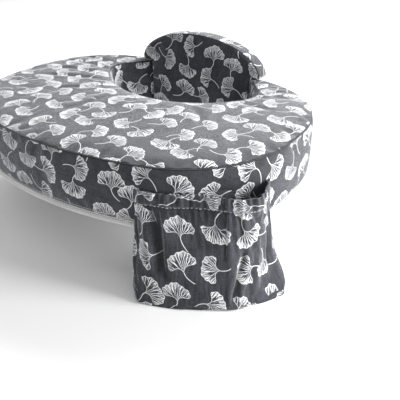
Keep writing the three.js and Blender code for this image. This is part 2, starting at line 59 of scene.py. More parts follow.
# The pad, as in the CAD part.
PAD_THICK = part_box("pad_top_panel")[1].z / MM
HALF_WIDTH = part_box("pad_outer_band")[1].x / MM
FRONT_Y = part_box("pad_outer_band")[0].y / MM
FRONT_RADIUS = 630
CORNER_RADIUS = 200
SIDE_STRAIGHT = 45
TIP_RADIUS = 17
TIP_ANGLE = 82
TIP_JOIN = 150
WAIST_FRONT_Y = -90
WAIST_RADIUS = 195
WAIST_CORNER_RADIUS = 45
WAIST_CORNER_X = 128
ZIP_END_ANGLE = 40

# The pocket.
POCKET_AZIMUTH = 38
POCKET_TOP = 72
POCKET_BOTTOM = -108
HEM_LOW = POCKET_TOP - 26
HEM_LINE = HEM_LOW + 1.5

# The backrest.
BACK_FRONT_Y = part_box("backrest_front_panel")[0].y / MM
BACK_REAR_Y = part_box("backrest_rear_panel")[1].y / MM
BACK_HALF_LOW = 123
BACK_HALF_HIGH = 148
BACK_SHOULDER = 114
BACK_COVER = 1.6
BACK_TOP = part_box("backrest_foam")[1].z / MM + BACK_COVER
BACK_BASE = 2


def smoothstep(x, low, high):
    t = np.clip((np.asarray(x, float) - low) / (high - low), 0, 1)
    return t * t * (3 - 2 * t)


def bell(x, middle, width):
    return np.exp(-(((x - middle) / width) ** 2))


def falloff(x, width):
    """1 at 0, and less further away."""
    return np.exp(-x / width)


def lerp(a, b, t):
    return a + (b - a) * t


def direction(angle):
    return np.array([math.cos(math.radians(angle)), math.sin(math.radians(angle))])


def polar(centre, radius, angle):
    return np.array(centre) + radius * direction(angle)


def arc(centre, radius, start, end, step=0.8):
    count = max(2, int(abs(math.radians(end - start)) * radius / step))
    angles = np.radians(np.linspace(start, end, count + 1))
    return np.stack([centre[0] + radius * np.cos(angles), centre[1] + radius * np.sin(angles)], 1)


class Path:
    """A line in XY, read by distance along it."""

    def __init__(self, *stretches):
        points = np.concatenate(stretches)
        steps = np.linalg.norm(np.diff(points, axis=0), axis=1)
        kept = np.r_[True, steps > 1e-6]
        self.points = points[kept]
        self.along = np.r_[0, np.cumsum(steps[steps > 1e-6])]
        self.length = self.along[-1]

    def at(self, distance):
        return np.stack([np.interp(distance, self.along, self.points[:, k]) for k in (0, 1)], -1)

    def heading(self, distance):
        ahead = self.at(np.minimum(distance + 1.0, self.length))
        behind = self.at(np.maximum(distance - 1.0, 0))
        step = ahead - behind
        return step / np.linalg.norm(step, axis=-1, keepdims=True)

    def right(self, distance):
        """Unit vectors to the right of travel."""
        heading = self.heading(distance)
        return np.stack([heading[..., 1], -heading[..., 0]], -1)

    def nearest(self, point):
        """Distance along the line of the place nearest to a point."""
        return self.along[np.argmin(np.linalg.norm(self.points - np.array(point), axis=1))]


FRONT_CENTRE = (0, FRONT_Y + FRONT_RADIUS)
CORNER_X = HALF_WIDTH - CORNER_RADIUS
FRONT_HALF_ANGLE = math.degrees(math.asin(CORNER_X / (FRONT_RADIUS - CORNER_RADIUS)))
FRONT_CORNER = polar(FRONT_CENTRE, FRONT_RADIUS - CORNER_RADIUS, FRONT_HALF_ANGLE - 90)
REAR_CORNER = FRONT_CORNER + np.array([0, SIDE_STRAIGHT])
LEFT_CORNER = REAR_CORNER * [-1, 1]
TIP = polar(REAR_CORNER, CORNER_RADIUS - TIP_RADIUS, TIP_ANGLE)
WAIST_CENTRE = (0, WAIST_FRONT_Y + WAIST_RADIUS)
WAIST_REACH = WAIST_RADIUS - WAIST_CORNER_RADIUS
WAIST_DROP = math.sqrt(WAIST_REACH**2 - WAIST_CORNER_X**2)
WAIST_CORNER = np.array([WAIST_CORNER_X, WAIST_CENTRE[1] - WAIST_DROP])
WAIST_ANGLE = math.degrees(math.atan2(WAIST_CORNER[1] - WAIST_CENTRE[1], WAIST_CORNER_X))
TO_TIP = TIP - WAIST_CORNER
TANGENT_ANGLE = math.degrees(
    math.atan2(TO_TIP[1], TO_TIP[0]) - math.acos((WAIST_CORNER_RADIUS + TIP_RADIUS) / np.linalg.norm(TO_TIP))
)


def mirrored(points):
    return (points * [-1, 1])[::-1]


OUTER_HALF = np.concatenate([
    arc(FRONT_CENTRE, FRONT_RADIUS, -90, FRONT_HALF_ANGLE - 90),
    arc(FRONT_CORNER, CORNER_RADIUS, FRONT_HALF_ANGLE - 90, 0)[1:],
    arc(REAR_CORNER, CORNER_RADIUS, 0, TIP_ANGLE),
    arc(TIP, TIP_RADIUS, TIP_ANGLE, TIP_JOIN)[1:],
])
WAIST_HALF = np.concatenate([
    arc(TIP, TIP_RADIUS, TIP_JOIN, TANGENT_ANGLE + 180, 0.3),
    arc(WAIST_CORNER, WAIST_CORNER_RADIUS, TANGENT_ANGLE, WAIST_ANGLE),
    arc(WAIST_CENTRE, WAIST_RADIUS, WAIST_ANGLE, -90)[1:],
])
outer = Path(mirrored(OUTER_HALF), OUTER_HALF[1:])
waist = Path(mirrored(WAIST_HALF[::-1]), WAIST_HALF[::-1][1:])
ZIP_FROM = outer.nearest((-HALF_WIDTH, FRONT_CORNER[1] + 9))
ZIP_TO = outer.nearest(polar(REAR_CORNER, CORNER_RADIUS, ZIP_END_ANGLE))


# Mesh helpers


def new_object(name, mesh):
    made = bpy.data.objects.new(name, mesh)
    scene.collection.objects.link(made)
    return made


class Shell:
    """Grids of points joined edge to edge into one mesh. Every grid brings its own coordinates on the flat
    cloth, and a number that pales or darkens each point: above 0 is paler, which on the pocket is painted
    light, and below 0 is painted shade in a crease or fold."""

    def __init__(self):
        self.points, self.faces, self.cloth, self.paling_and_painted_shade = [], [], [], []

    def grid(self, points, cloth, paling_and_painted_shade=None, flip=False):
        rows, columns = points.shape[:2]
        first = sum(len(p) for p in self.points)
        self.points.append(points.reshape(-1, 3))
        self.paling_and_painted_shade.append(np.zeros(rows * columns) if paling_and_painted_shade is None else paling_and_painted_shade.reshape(-1))
        i, j = np.meshgrid(np.arange(rows - 1), np.arange(columns - 1), indexing="ij")
        a = (i * columns + j).ravel()
        quads = np.stack([a, a + 1, a + columns + 1, a + columns], 1)
        if flip:
            quads = quads[:, ::-1]
        self.faces.append(quads + first)
        self.cloth.append(cloth.reshape(-1, 2)[quads.ravel()])
        return self

    def build(self, name, join, outward=False, filled=False):
        """Makes points closer than join one. outward turns the faces outward, and filled closes the holes."""
        mesh = bpy.data.meshes.new(name)
        mesh.from_pydata(np.concatenate(self.points) * MM, [], np.concatenate(self.faces).tolist())
        uv = mesh.uv_layers.new(name="cloth")
        uv.data.foreach_set("uv", (np.concatenate(self.cloth) * MM * CLOTH_UNIT).astype(np.float32).ravel())
        paling_and_painted_shade = mesh.attributes.new("paling_and_painted_shade", "FLOAT", "POINT")
        paling_and_painted_shade.data.foreach_set("value", np.concatenate(self.paling_and_painted_shade).astype(np.float32))
        made = new_object(name, mesh)
        work = bmesh.new()
        work.from_mesh(mesh)
        bmesh.ops.remove_doubles(work, verts=work.verts, dist=join * MM)
        bmesh.ops.dissolve_degenerate(work, edges=work.edges, dist=join * MM / 2)
        if filled:
            bmesh.ops.holes_fill(work, edges=work.edges, sides=0)
        if outward:
            bmesh.ops.recalc_face_normals(work, faces=work.faces)
        work.to_mesh(mesh)
        work.free()
        return made


def coordinates(made):
    co = np.empty(len(made.data.vertices) * 3)
    made.data.vertices.foreach_get("co", co)
    return co.reshape(-1, 3)


def set_coordinates(made, co):
    made.data.vertices.foreach_set("co", co.ravel())
    made.data.update()


def vertex_normals(made):
    normals = np.empty(len(made.data.vertices) * 3, np.float32)
    made.data.vertex_normals.foreach_get("vector", normals)
    return normals.reshape(-1, 3)


def smooth_shaded(made):
    made.data.polygons.foreach_set("use_smooth", [True] * len(made.data.polygons))
    made.data.update()
    return made


def subdivided(made):
    """The object with one level of subdivision applied to its mesh."""
    modifier = made.modifiers.new("subdivision", "SUBSURF")
    modifier.levels = modifier.render_levels = 1
    modifier.boundary_smooth = "PRESERVE_CORNERS"
    modifier.use_limit_surface = False
    graph = bpy.context.evaluated_depsgraph_get()
    finer = made.evaluated_get(graph)
    mesh = bpy.data.meshes.new_from_object(finer, preserve_all_data_layers=True, depsgraph=graph)
    old = made.data
    made.modifiers.clear()
    made.data = mesh
    mesh.name = made.name
    bpy.data.meshes.remove(old)
    return smooth_shaded(made)


def thickened(made, thick, offset=-1):
    modifier = made.modifiers.new("cloth_thickness", "SOLIDIFY")
    modifier.thickness = thick * MM
    modifier.offset = offset
    return made


def rough(points, size, seed):
    """Smooth noise from -1 to 1 at each point; size is the width of its features."""
    shift = Vector((seed * 7.31, seed * 3.17, seed * 5.77))
    return np.array([noise.noise(Vector(p) / size + shift) for p in points])


def near_line(places, line):
    """Distance from each 2-D place to a line through a few points, and the share of the line passed there."""
    line = np.array(line, float)
    steps = np.diff(line, axis=0)
    lengths = np.linalg.norm(steps, axis=1)
    before = np.r_[0, np.cumsum(lengths)]
    best = np.full(len(places), np.inf)
    share = np.zeros(len(places))
    for start, step, length, passed in zip(line, steps, lengths, before):
        t = np.clip(((places - start) @ step) / length**2, 0, 1)
        away = np.linalg.norm(places - start - t[:, None] * step, axis=1)
        closer = away < best
        best[closer] = away[closer]
        share[closer] = (passed + t[closer] * length) / before[-1]
    return best, share


def fold(places, line, depth, width, fade=0.3):
    """A soft valley along a line, with a low ridge on both sides. Depth is negative for a ridge, and fade is
    the share of the line over which each end dies out."""
    away, share = near_line(places, line)
    ends = smoothstep(share, 0, fade) * (1 - smoothstep(share, 1 - fade, 1))
    return depth * ends * (0.3 * bell(away, 2 * width, width) - bell(away, 0, width))


def relax(made, held, pressure, shrink, cap, frames, gravity=0.0, stiffness=15.0, bending=0.5):
    """Runs a cloth simulation with some points held still, and keeps its result. No point moves further than
    cap."""
    rest = coordinates(made)
    group = made.vertex_groups.new(name="held")
    for i in np.nonzero(held)[0]:
        group.add([int(i)], 1.0, "REPLACE")
    modifier = made.modifiers.new("cloth", "CLOTH")
    settings = modifier.settings
    settings.quality = 6
    settings.mass = 0.2
    settings.tension_stiffness = settings.compression_stiffness = stiffness
    settings.shear_stiffness = stiffness / 3
    settings.bending_stiffness = bending
    settings.vertex_group_mass = "held"
    settings.shrink_min = shrink
    settings.effector_weights.gravity = gravity
    settings.use_pressure = True
    settings.uniform_pressure_force = pressure
    modifier.collision_settings.use_collision = False
    modifier.point_cache.frame_start = 1
    modifier.point_cache.frame_end = frames
    for number in range(1, frames + 1):
        scene.frame_set(number)
    graph = bpy.context.evaluated_depsgraph_get()
    moved = np.empty(len(rest) * 3)
    made.evaluated_get(graph).data.vertices.foreach_get("co", moved)
    made.modifiers.remove(modifier)
    made.vertex_groups.remove(group)
    scene.frame_set(1)
    step = moved.reshape(-1, 3) - rest
    size = np.linalg.norm(step, axis=1, keepdims=True)
    limit = cap * MM
    set_coordinates(made, rest + step * (np.tanh(size / limit) * limit / np.maximum(size, 1e-9)))


# One stitch, ring by ring: the share of its length, of its radius, and how far it stands up in radii.
STITCH_RINGS = [(-0.5, 0.35, -0.35), (-0.36, 0.85, 0.1), (0, 1.0, 0.3), (0.36, 0.85, 0.1), (0.5, 0.35, -0.35)]
STITCH_SIDES = 6


def threads(name, places, headings, normals, long, radius):
    """Sewn stitches: a short rounded length of thread at each place, all in one mesh."""
    turn = np.arange(STITCH_SIDES) / STITCH_SIDES * 2 * math.pi
    points, faces = [], []
    across = np.cross(headings, normals)
    for place, heading, normal, side in zip(places, headings, normals, across):
        first = len(points)
        for share, width, lift in STITCH_RINGS:
            centre = place + heading * share * long + normal * lift * radius
            for t in turn:
                points.append(centre + radius * width * (side * math.cos(t) + normal * math.sin(t)))
        last = len(points) - STITCH_SIDES
        for ring in range(first, last, STITCH_SIDES):
            for k in range(STITCH_SIDES):
                a, b = ring + k, ring + (k + 1) % STITCH_SIDES
                faces.append((a, b, b + STITCH_SIDES, a + STITCH_SIDES))
        faces.append(tuple(first + k for k in reversed(range(STITCH_SIDES))))
        faces.append(tuple(last + k for k in range(STITCH_SIDES)))
    mesh = bpy.data.meshes.new(name)
    mesh.from_pydata(np.array(points) * MM, [], faces)
    return smooth_shaded(new_object(name, mesh))


def surface_of(made):
    faces = [tuple(p.vertices) for p in made.data.polygons]
    return BVHTree.FromPolygons([Vector(c) for c in coordinates(made)], faces)


def sewn(name, surface, starts, towards, long, radius):
    """A row of stitches on a surface, found by looking from each start along towards."""
    found = [surface.ray_cast(Vector(start) * MM, Vector(way)) for start, way in zip(starts, towards)]
    found = [hit for hit in found if hit[0] is not None]
    places = np.array([hit[0] for hit in found]) / MM
    normals = np.array([hit[1] for hit in found])
    normals *= -np.sign(np.sum(normals * np.array(towards[0]), axis=1))[:, None]
    headings = np.gradient(places, axis=0)
    headings /= np.linalg.norm(headings, axis=1)[:, None]
    return threads(name, places, headings, normals, long, radius)


# Shader helpers


class Wire:
    """A number in a node tree. Arithmetic on it adds Math nodes."""

    def __init__(self, graph, socket):
        self.graph, self.socket = graph, socket

    def op(self, kind, *others):
        return self.graph.math(kind, self, *others)

    def __add__(self, other):
        return self.op("ADD", other)

    def __sub__(self, other):
        return self.op("SUBTRACT", other)

    def __mul__(self, other):
        return self.op("MULTIPLY", other)

    def __truediv__(self, other):
        return self.op("DIVIDE", other)

    def __neg__(self):
        return self.op("MULTIPLY", -1.0)

    def ramp(self, low, high):
        """0 below low and 1 above high, smooth between; low may be above high."""
        fed = {"Value": self, "From Min": low, "From Max": high}
        node = self.graph.node("ShaderNodeMapRange", fed, interpolation_type="SMOOTHSTEP")
        return Wire(self.graph, node.outputs["Result"])


class Graph:
    def __init__(self, tree):
        self.tree = tree

    def node(self, kind, fed=(), **settings):
        """A new node. fed is what its inputs take, in their order or by name."""
        made = self.tree.nodes.new(kind)
        for key, value in settings.items():
            setattr(made, key, value)
        for key, value in fed.items() if isinstance(fed, dict) else enumerate(fed):
            self.feed(made.inputs[key], value)
        return made

    def feed(self, socket, value):
        if isinstance(value, Wire):
            self.tree.links.new(value.socket, socket)
        elif isinstance(value, bpy.types.NodeSocket):
            self.tree.links.new(value, socket)
        else:
            socket.default_value = value

    def math(self, kind, *values):
        return Wire(self, self.node("ShaderNodeMath", values, operation=kind).outputs[0])

    def noise(self, vector, scale, detail=2.0, roughness=0.5):
        fed = {"Vector": vector, "Scale": scale, "Detail": detail, "Roughness": roughness}
        return Wire(self, self.node("ShaderNodeTexNoise", fed).outputs["Fac"])

    def parts(self, vector):
        return [Wire(self, s) for s in self.node("ShaderNodeSeparateXYZ", [vector]).outputs]

    def vector(self, x, y, z=0.0):
        return self.node("ShaderNodeCombineXYZ", (x, y, z)).outputs[0]

    def scaled(self, vector, scale):
        return self.node("ShaderNodeMapping", {"Vector": vector, "Scale": scale}).outputs[0]

    def mix(self, share, a, b):
        """A mix of two colours, which are the inputs 6 and 7 of this node."""
        return self.node("ShaderNodeMix", {0: share, 6: a, 7: b}, data_type="RGBA").outputs[2]

    def place(self):
        """The place on the piece, in metres."""
        return self.node("ShaderNodeTexCoord").outputs["Object"]


LEAF_PITCH = 51.0  # spacing of the print's leaves
LEAF_LONG = 32.5  # from the foot of the fan to the middle of its rim
LEAF_MIDDLE = 15.0  # from the foot to the place that sits in the middle of the leaf's cell
LEAF_JITTER = 0.22  # how far a leaf strays from the middle of its cell, as a share of the pitch
STEM_LONG = 21.0


def leaf_group():
    """One printed leaf: a ribbed fan on a curved stem, turned and shaped by the number of its cell."""
    tree = bpy.data.node_groups.new("fan_leaf", "ShaderNodeTree")
    for way, names in (("INPUT", ("U", "V", "Cell U", "Cell V")), ("OUTPUT", ("Fan", "Ink", "Stem"))):
        for name in names:
            tree.interface.new_socket(name, in_out=way, socket_type="NodeSocketFloat")
    g = Graph(tree)
    given = g.node("NodeGroupInput")
    u, v, cell_u, cell_v = [Wire(g, s) for s in given.outputs[:4]]
    dice = g.node("ShaderNodeTexWhiteNoise", {"Vector": g.vector(cell_u, cell_v)}, noise_dimensions="2D")
    spin, size_dice, bend_dice = g.parts(dice.outputs["Color"])
    along = (u - cell_u - 0.5 - (size_dice - 0.5) * LEAF_JITTER) * LEAF_PITCH
    across = (v - cell_v - 0.5 - (bend_dice - 0.5) * LEAF_JITTER) * LEAF_PITCH
    # Half the leaves point one way over the cloth and half the other way, give or take (radians).
    turns = spin * 2.0
    facing = turns.op("FLOOR")
    angle = facing * math.pi + (turns - facing - 0.5) * 2.4 + 0.87
    cosine, sine = angle.op("COSINE"), angle.op("SINE")
    size = size_dice * 0.14 + 0.87
    x = (along * cosine + across * sine) / size + LEAF_MIDDLE
    y = (across * cosine - along * sine) / size
    # The fan leans to one side of its stem.
    radius = (x * x + y * y).op("SQRT")
    theta = y.op("ARCTAN2", x) - (bend_dice - 0.5) * 0.5
    wide = theta.op("ABSOLUTE")
    # The rim is scalloped, its corners fall back, and the fan's sides are hollow.
    rim = (
        (theta * 7.0 + spin * 20.0).op("SINE") * 1.1
        + (theta * 19.0 + size_dice * 30.0).op("SINE") * 0.8
        - wide.op("POWER", 3.0) * 4.5
        + LEAF_LONG
    )
    opening = radius.ramp(2.0, 22.0) * 0.82 + 0.38
    inside_rim = rim - radius
    inside_side = (opening - wide) * radius
    fan = inside_rim.ramp(-0.3, 0.3) * inside_side.ramp(-0.3, 0.3)
    # Ribs run out from the foot; ragged gaps between them show the ground.
    wander = g.noise(g.vector(x, y, spin * 40.0), 0.12, 1.0)
    bent = theta + (wander - 0.5) * 0.22
    ribs = (bent * 11.0).op("PINGPONG", 1.0)
    fine = (bent * 23.0 + 0.4).op("PINGPONG", 1.0)
    ragged = g.noise(g.vector(theta * 16.0, radius * 0.06, spin * 30.0), 1.0, 3.0, 0.65)
    far = radius / LEAF_LONG
    bare = ribs + (fine - ribs) * far.ramp(0.4, 0.85) * 0.65 + (ragged - 0.5) * 1.5
    wedges = (bent * 5.0 + 0.3).op("PINGPONG", 1.0).ramp(0.34, 0.1) * far.ramp(0.85, 0.45)
    cover = far * 0.36 + 0.2 - wedges * 0.5
    lines = (bare - cover).ramp(0.1, -0.1)
    edge_line = inside_rim.ramp(1.4, 0.8).op("MAXIMUM", inside_side.ramp(1.1, 0.6))
    heart = radius.ramp(3.2, 1.8)
    ink = lines.op("MAXIMUM", edge_line).op("MAXIMUM", heart) * fan
    # The stem is a parabola behind the foot.
    bend = (bend_dice - 0.5).op("SIGN") * (size_dice * 0.014 + 0.014)
    off_curve = (y - x * x * bend).op("ABSOLUTE") / ((x * bend * 2.0).op("POWER", 2.0) + 1.0).op("SQRT")
    stem_end = -(bend_dice * 7.0 + STEM_LONG - 3.5)
    stem = off_curve.ramp(0.8, 0.45) * (x - stem_end).ramp(-0.4, 0.4) * x.ramp(3.0, 1.0)
    g.node("NodeGroupOutput", (fan, ink, stem))
    return tree


def print_group():
    """The print: leaves on a square lattice of cells. A place is tested against the four cells round it."""
    leaf = leaf_group()
    tree = bpy.data.node_groups.new("leaf_print", "ShaderNodeTree")
    tree.interface.new_socket("Place", in_out="INPUT", socket_type="NodeSocketVector")
    tree.interface.new_socket("Ink", in_out="OUTPUT", socket_type="NodeSocketFloat")
    g = Graph(tree)
    u, v, _ = g.parts(g.node("NodeGroupInput").outputs["Place"])
    base_u = (u - 0.5).op("FLOOR")
    base_v = (v - 0.5).op("FLOOR")
    most = None
    for step_u, step_v in ((0, 0), (1, 0), (0, 1), (1, 1)):
        node = g.node("ShaderNodeGroup", (u, v, base_u + step_u, base_v + step_v), node_tree=leaf)
        found = [Wire(g, s) for s in node.outputs]
        most = [a.op("MAXIMUM", b) for a, b in zip(most, found)] if most else found
    fan, ink, stem = most
    g.node("NodeGroupOutput", [ink.op("MAXIMUM", stem * (-fan + 1.0))])
    return tree


PRINT = print_group()
BLACK = (0, 0, 0, 1)
WEAVE = 1150.0  # turns of the weave's sine wave, in radians to a cloth unit: a pair of threads to 0.55 mm


def shaded(colour, share=1.0):
    """A colour at a share of its brightness, with the alpha that a socket takes."""
    return (*[c * share for c in colour], 1)


def material(name, roughness=0.8, metallic=0.0, sheen=0.0, specular=0.5):
    made = bpy.data.materials.new(name)
    made.use_nodes = True
    made.node_tree.nodes.clear()
    g = Graph(made.node_tree)
    shader = g.node("ShaderNodeBsdfPrincipled", {
        "Roughness": roughness, "Metallic": metallic, "Specular IOR Level": specular,
        "Sheen Weight": sheen, "Sheen Roughness": 0.25, "Sheen Tint": (0.93, 0.96, 1.0, 1),
    })
    g.node("ShaderNodeOutputMaterial", {"Surface": shader.outputs[0]})
    return made, g, shader


def bumped(g, shader, height, distance, strength):
    """Raises the surface by height times distance, in metres."""
    node = g.node("ShaderNodeBump", {"Height": height, "Distance": distance, "Strength": strength})
    g.feed(shader.inputs["Normal"], node.outputs[0])


def printed_cotton(name, streaks=1.1, ground=(0.032, 0.034, 0.042), ink=(0.88, 0.885, 0.90)):
    """Plain-woven cotton with the white leaf print. streaks is how strongly its ground is streaked."""
    made, g, shader = material(name, roughness=0.85, sheen=0.8, specular=0.35)
    place = g.node("ShaderNodeUVMap", uv_map="cloth").outputs["UV"]
    lattice = LEAF_PITCH * MM * CLOTH_UNIT
    tiles = g.scaled(place, (1 / lattice, 1 / lattice, 1))
    inked = Wire(g, g.node("ShaderNodeGroup", [tiles], node_tree=PRINT).outputs[0])
    warp = g.noise(g.scaled(place, (85, 6, 1)), 1.0, 3.0, 0.75)
    weft = g.noise(g.scaled(place, (6, 85, 1)), 1.0, 3.0, 0.75)
    slub = (warp + weft) * 0.5
    streak = g.noise(g.scaled(place, (16, 2.2, 1)), 1.0, 3.0, 0.6)
    cloudy = g.noise(place, 2.4, 3.0, 0.6)
    speck = g.noise(place, 60.0, 3.0, 0.7)
    # Painted shade and light from the mesh: below 0 the ground darkens as in a seam's crease or a fold, and
    # above 0 it pales.
    paling_and_painted_shade = Wire(g, g.node("ShaderNodeAttribute", attribute_name="paling_and_painted_shade").outputs["Fac"])
    shade = (slub - 0.5) * 4.5 + (streak - 0.5) * streaks + (cloudy - 0.5) * 1.2 + (speck - 0.5) * 2.4
    shade = shade + paling_and_painted_shade * 0.5 + 1.0
    dark = g.mix((shade * 0.5).op("MAXIMUM", 0.08), BLACK, shaded(ground, 2.0))
    bright = g.mix(speck.ramp(0.25, 0.6), shaded(ink, 0.84), shaded(ink))
    cover = inked * ((speck - 0.5) * 0.6 + (slub - 0.5) * 0.6 + 1.0)
    # Painted shade: the cloth turns towards a dark ground where the mesh's number is well below 0, at seams
    # and in folds.
    painted_groove_shade = (-paling_and_painted_shade).ramp(0.05, 0.6)
    g.feed(shader.inputs["Base Color"], g.mix(painted_groove_shade, g.mix(cover, dark, bright), shaded(ground, 0.2)))
    g.feed(shader.inputs["Roughness"], inked * -0.1 + 0.65)
    u, v, _ = g.parts(place)
    weave = (u * WEAVE).op("SINE") * (v * WEAVE).op("SINE")
    bumped(g, shader, weave * 0.25 + slub * 1.6 + inked * 0.35, 0.0004, 0.8)
    return made


def plain_cloth(name, colour, rib, roughness=0.85, sheen=0.2):
    """A plain woven tape. rib is the spacing of its ribs."""
    made, g, shader = material(name, roughness=roughness, sheen=sheen, specular=0.3)
    place = g.place()
    fine = g.noise(place, 900.0, 2.0)
    tone = (g.noise(place, 60.0, 3.0) - 0.5) * 0.25 + (fine - 0.5) * 0.35 + 1.0
    if colour[0] < 0.5:
        mixed = g.mix(tone * 0.5, BLACK, shaded(colour, 2.0))
    else:
        mixed = g.mix(tone.ramp(0.6, 1.1), shaded(colour, 0.82), shaded(colour))
    g.feed(shader.inputs["Base Color"], mixed)
    x, y, z = g.parts(place)
    slant = (x + y) * 0.7
    twill, weave = [(side * (2 * math.pi / (rib * MM))).op("SINE") for side in (z + slant, z - slant)]
    bumped(g, shader, twill.op("MAXIMUM", weave) + fine, 0.00035, 0.7)
    return made


def moulded_plastic(name, colour):
    made, g, shader = material(name, roughness=0.42)
    place = g.place()
    scuff = g.noise(place, 70.0, 4.0)
    scuffed = tuple(c * 1.5 + 0.01 for c in colour)
    g.feed(shader.inputs["Base Color"], g.mix(scuff.ramp(0.45, 0.75), shaded(colour), shaded(scuffed)))
    g.feed(shader.inputs["Roughness"], scuff * 0.25 + 0.3)
    bumped(g, shader, g.noise(place, 1400.0, 3.0), 0.00012, 0.8)
    return made


def brushed_metal(name, bright=(0.72, 0.73, 0.75), dull=(0.46, 0.46, 0.48)):
    made, g, shader = material(name, roughness=0.3, metallic=1.0)
    place = g.place()
    brush = g.noise(g.scaled(place, (3000, 120, 3000)), 1.0, 3.0)
    tarnish = g.noise(place, 160.0, 3.0)
    g.feed(shader.inputs["Base Color"], g.mix(tarnish.ramp(0.35, 0.8), shaded(bright), shaded(dull)))
    g.feed(shader.inputs["Roughness"], brush * 0.2 + 0.2)
    bumped(g, shader, brush, 0.00005, 0.5)
    return made


def thread(name, colour):
    made, g, shader = material(name, roughness=0.6, sheen=0.3)
    place = g.place()
    tone = g.noise(place, 500.0, 2.0)
    g.feed(shader.inputs["Base Color"], g.mix(tone, shaded(colour, 0.75), shaded(colour)))
    x, y, z = g.parts(place)
    bumped(g, shader, ((x + y + z) * 9000.0).op("SINE"), 0.0001, 0.6)
    return made


def dress(made, finish):
    made.data.materials.clear()
    made.data.materials.append(finish)


def fitted(piece, body, slot, finish, *replaced):
    """Gives a piece its finish and its body, and hides the CAD nodes that it stands for."""
    dress(piece, finish)
    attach(piece, body)
    if replaced:
        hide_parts(*replaced)
    return piece


# The camera, the lights and the floor, in metres


def add_camera():
    data = bpy.data.cameras.new("camera")
    data.lens = 50.4
    data.sensor_width = 36
    data.clip_end = 60
    camera = new_object("camera", data)
    camera.location = (0.639, -0.885, 0.489)
    camera.rotation_euler = (math.radians(59), 0, math.radians(33))
    scene.camera = camera


def add_light(name, place, target, size, power):
    data = bpy.data.lights.new(name, "AREA")
    data.shape = "SQUARE"
    data.size = size
    data.energy = power
    lamp = new_object(name, data)
    lamp.location = place
    lamp.rotation_euler = (Vector(target) - Vector(place)).to_track_quat("-Z", "Y").to_euler()


def add_room():
    world = bpy.data.worlds.new("studio")
    scene.world = world
    world.use_nodes = True
    backdrop = world.node_tree.nodes["Background"]
    backdrop.inputs["Color"].default_value = (1.0, 1.0, 1.0, 1)
    backdrop.inputs["Strength"].default_value = 0.63
    scene.view_settings.view_transform = "Standard"
    add_light("rear_softbox", (0.1, 1.4, 1.35), (0, -0.1, 0.05), 1.0, 64)
    add_light("right_window", (1.9, 0.42, 0.6), (0.2, -0.25, 0), 0.7, 58)
    work = bmesh.new()
    bmesh.ops.create_grid(work, x_segments=8, y_segments=8, size=6)
    mesh = bpy.data.meshes.new("floor")
    work.to_mesh(mesh)
    work.free()
    floor = new_object("floor", mesh)
    floor.location.z = (POCKET_BOTTOM - 0.5) * MM
    surface, g, shader = material("floor_paper", roughness=0.9, specular=0.1)
    mottle = g.mix(g.noise(g.place(), 3.0), (0.90, 0.90, 0.90, 1), (0.93, 0.93, 0.93, 1))
    g.feed(shader.inputs["Base Color"], mottle)
    dress(floor, surface)


add_camera()
add_room()

cotton_pad = printed_cotton("cotton_pad")
# The pocket's cotton is the pad's cloth with a lighter ground: painted light on the pocket.
cotton_pocket_painted_lighter = printed_cotton("cotton_pocket_painted_lighter", streaks=3.0, ground=(0.037, 0.040, 0.049))
cotton_back = printed_cotton("cotton_backrest")
white_thread = thread("white_thread", (0.86, 0.85, 0.84))
grey_thread = thread("grey_thread", (0.10, 0.10, 0.11))
light_thread = thread("light_thread", (0.42, 0.42, 0.43))
zip_white = plain_cloth("zip_tape_white", (0.93, 0.92, 0.92), rib=0.9, sheen=0.6)
coil_white = thread("zip_coil_white", (0.93, 0.92, 0.92))
metal = brushed_metal("zip_metal_brushed")
plastic = moulded_plastic("buckle_plastic_grey", (0.035, 0.035, 0.04))
webbing = plain_cloth("webbing_grey", (0.07, 0.07, 0.078), rib=1.8)
satin = plain_cloth("label_satin", (0.84, 0.84, 0.82), rib=0.7, roughness=0.5)


# The pad

SEAM_IN = 1.6
SEAM_Z = PAD_THICK - 1.4
BASE_SEAM_Z = 1.0
EDGE_STEPS = np.array([0, 0.9, 2.6, 6.0])
PAD_COLUMNS = 247
PANEL_ROWS = 24
CLOTH_TURN = 17  # the print's lie on the top panel
BAND_TURN = -70
TAUT_END = (205, 290)  # distance from an arm's end over which the band swells to its full crown

# The upright band, from the top seam to the base's: its heights, and how far in from the outline it lies.
BAND_Z = np.array(
    [SEAM_Z, 107.9, 106.3, 102, 94, 84, 73, 62, 51, 40, 30, 21, 15]
    + [11.2, 9.6, 9.1, 8.7, 5.2, 2.4, BASE_SEAM_Z]
)
BAND_CROWN = [SEAM_IN, 0.5, 0, -0.6, -1.1, -1.5, -1.8, -1.9, -1.8, -1.5, -1.2, -0.8, -0.5]
BAND_IN_ZIP = np.array(BAND_CROWN + [-0.2, 0.2, 1.2, 2.4, 2.4, 2.2, SEAM_IN])
BAND_IN_PLAIN = np.array(BAND_CROWN + [-0.4, -0.3, -0.2, -0.2, 0, 0.6, SEAM_IN])


def turned(places, angle, shift=(0, 0)):
    c, s = direction(angle)
    x, y = places[..., 0], places[..., 1]
    return np.stack([x * c - y * s + shift[0], x * s + y * c + shift[1]], -1)


def across_shares(length):
    """Shares of the way across for each row: close together at both edges, even in between."""
    edge = EDGE_STEPS[:, None] * np.minimum(1, length / 80)[None]
    inner = np.linspace(0, 1, PANEL_ROWS + 1)[1:-1, None]
    rows = np.concatenate([edge, edge[-1] + inner * (length - 2 * edge[-1]), (length - edge)[::-1]])
    return rows / np.maximum(length, 1e-6)


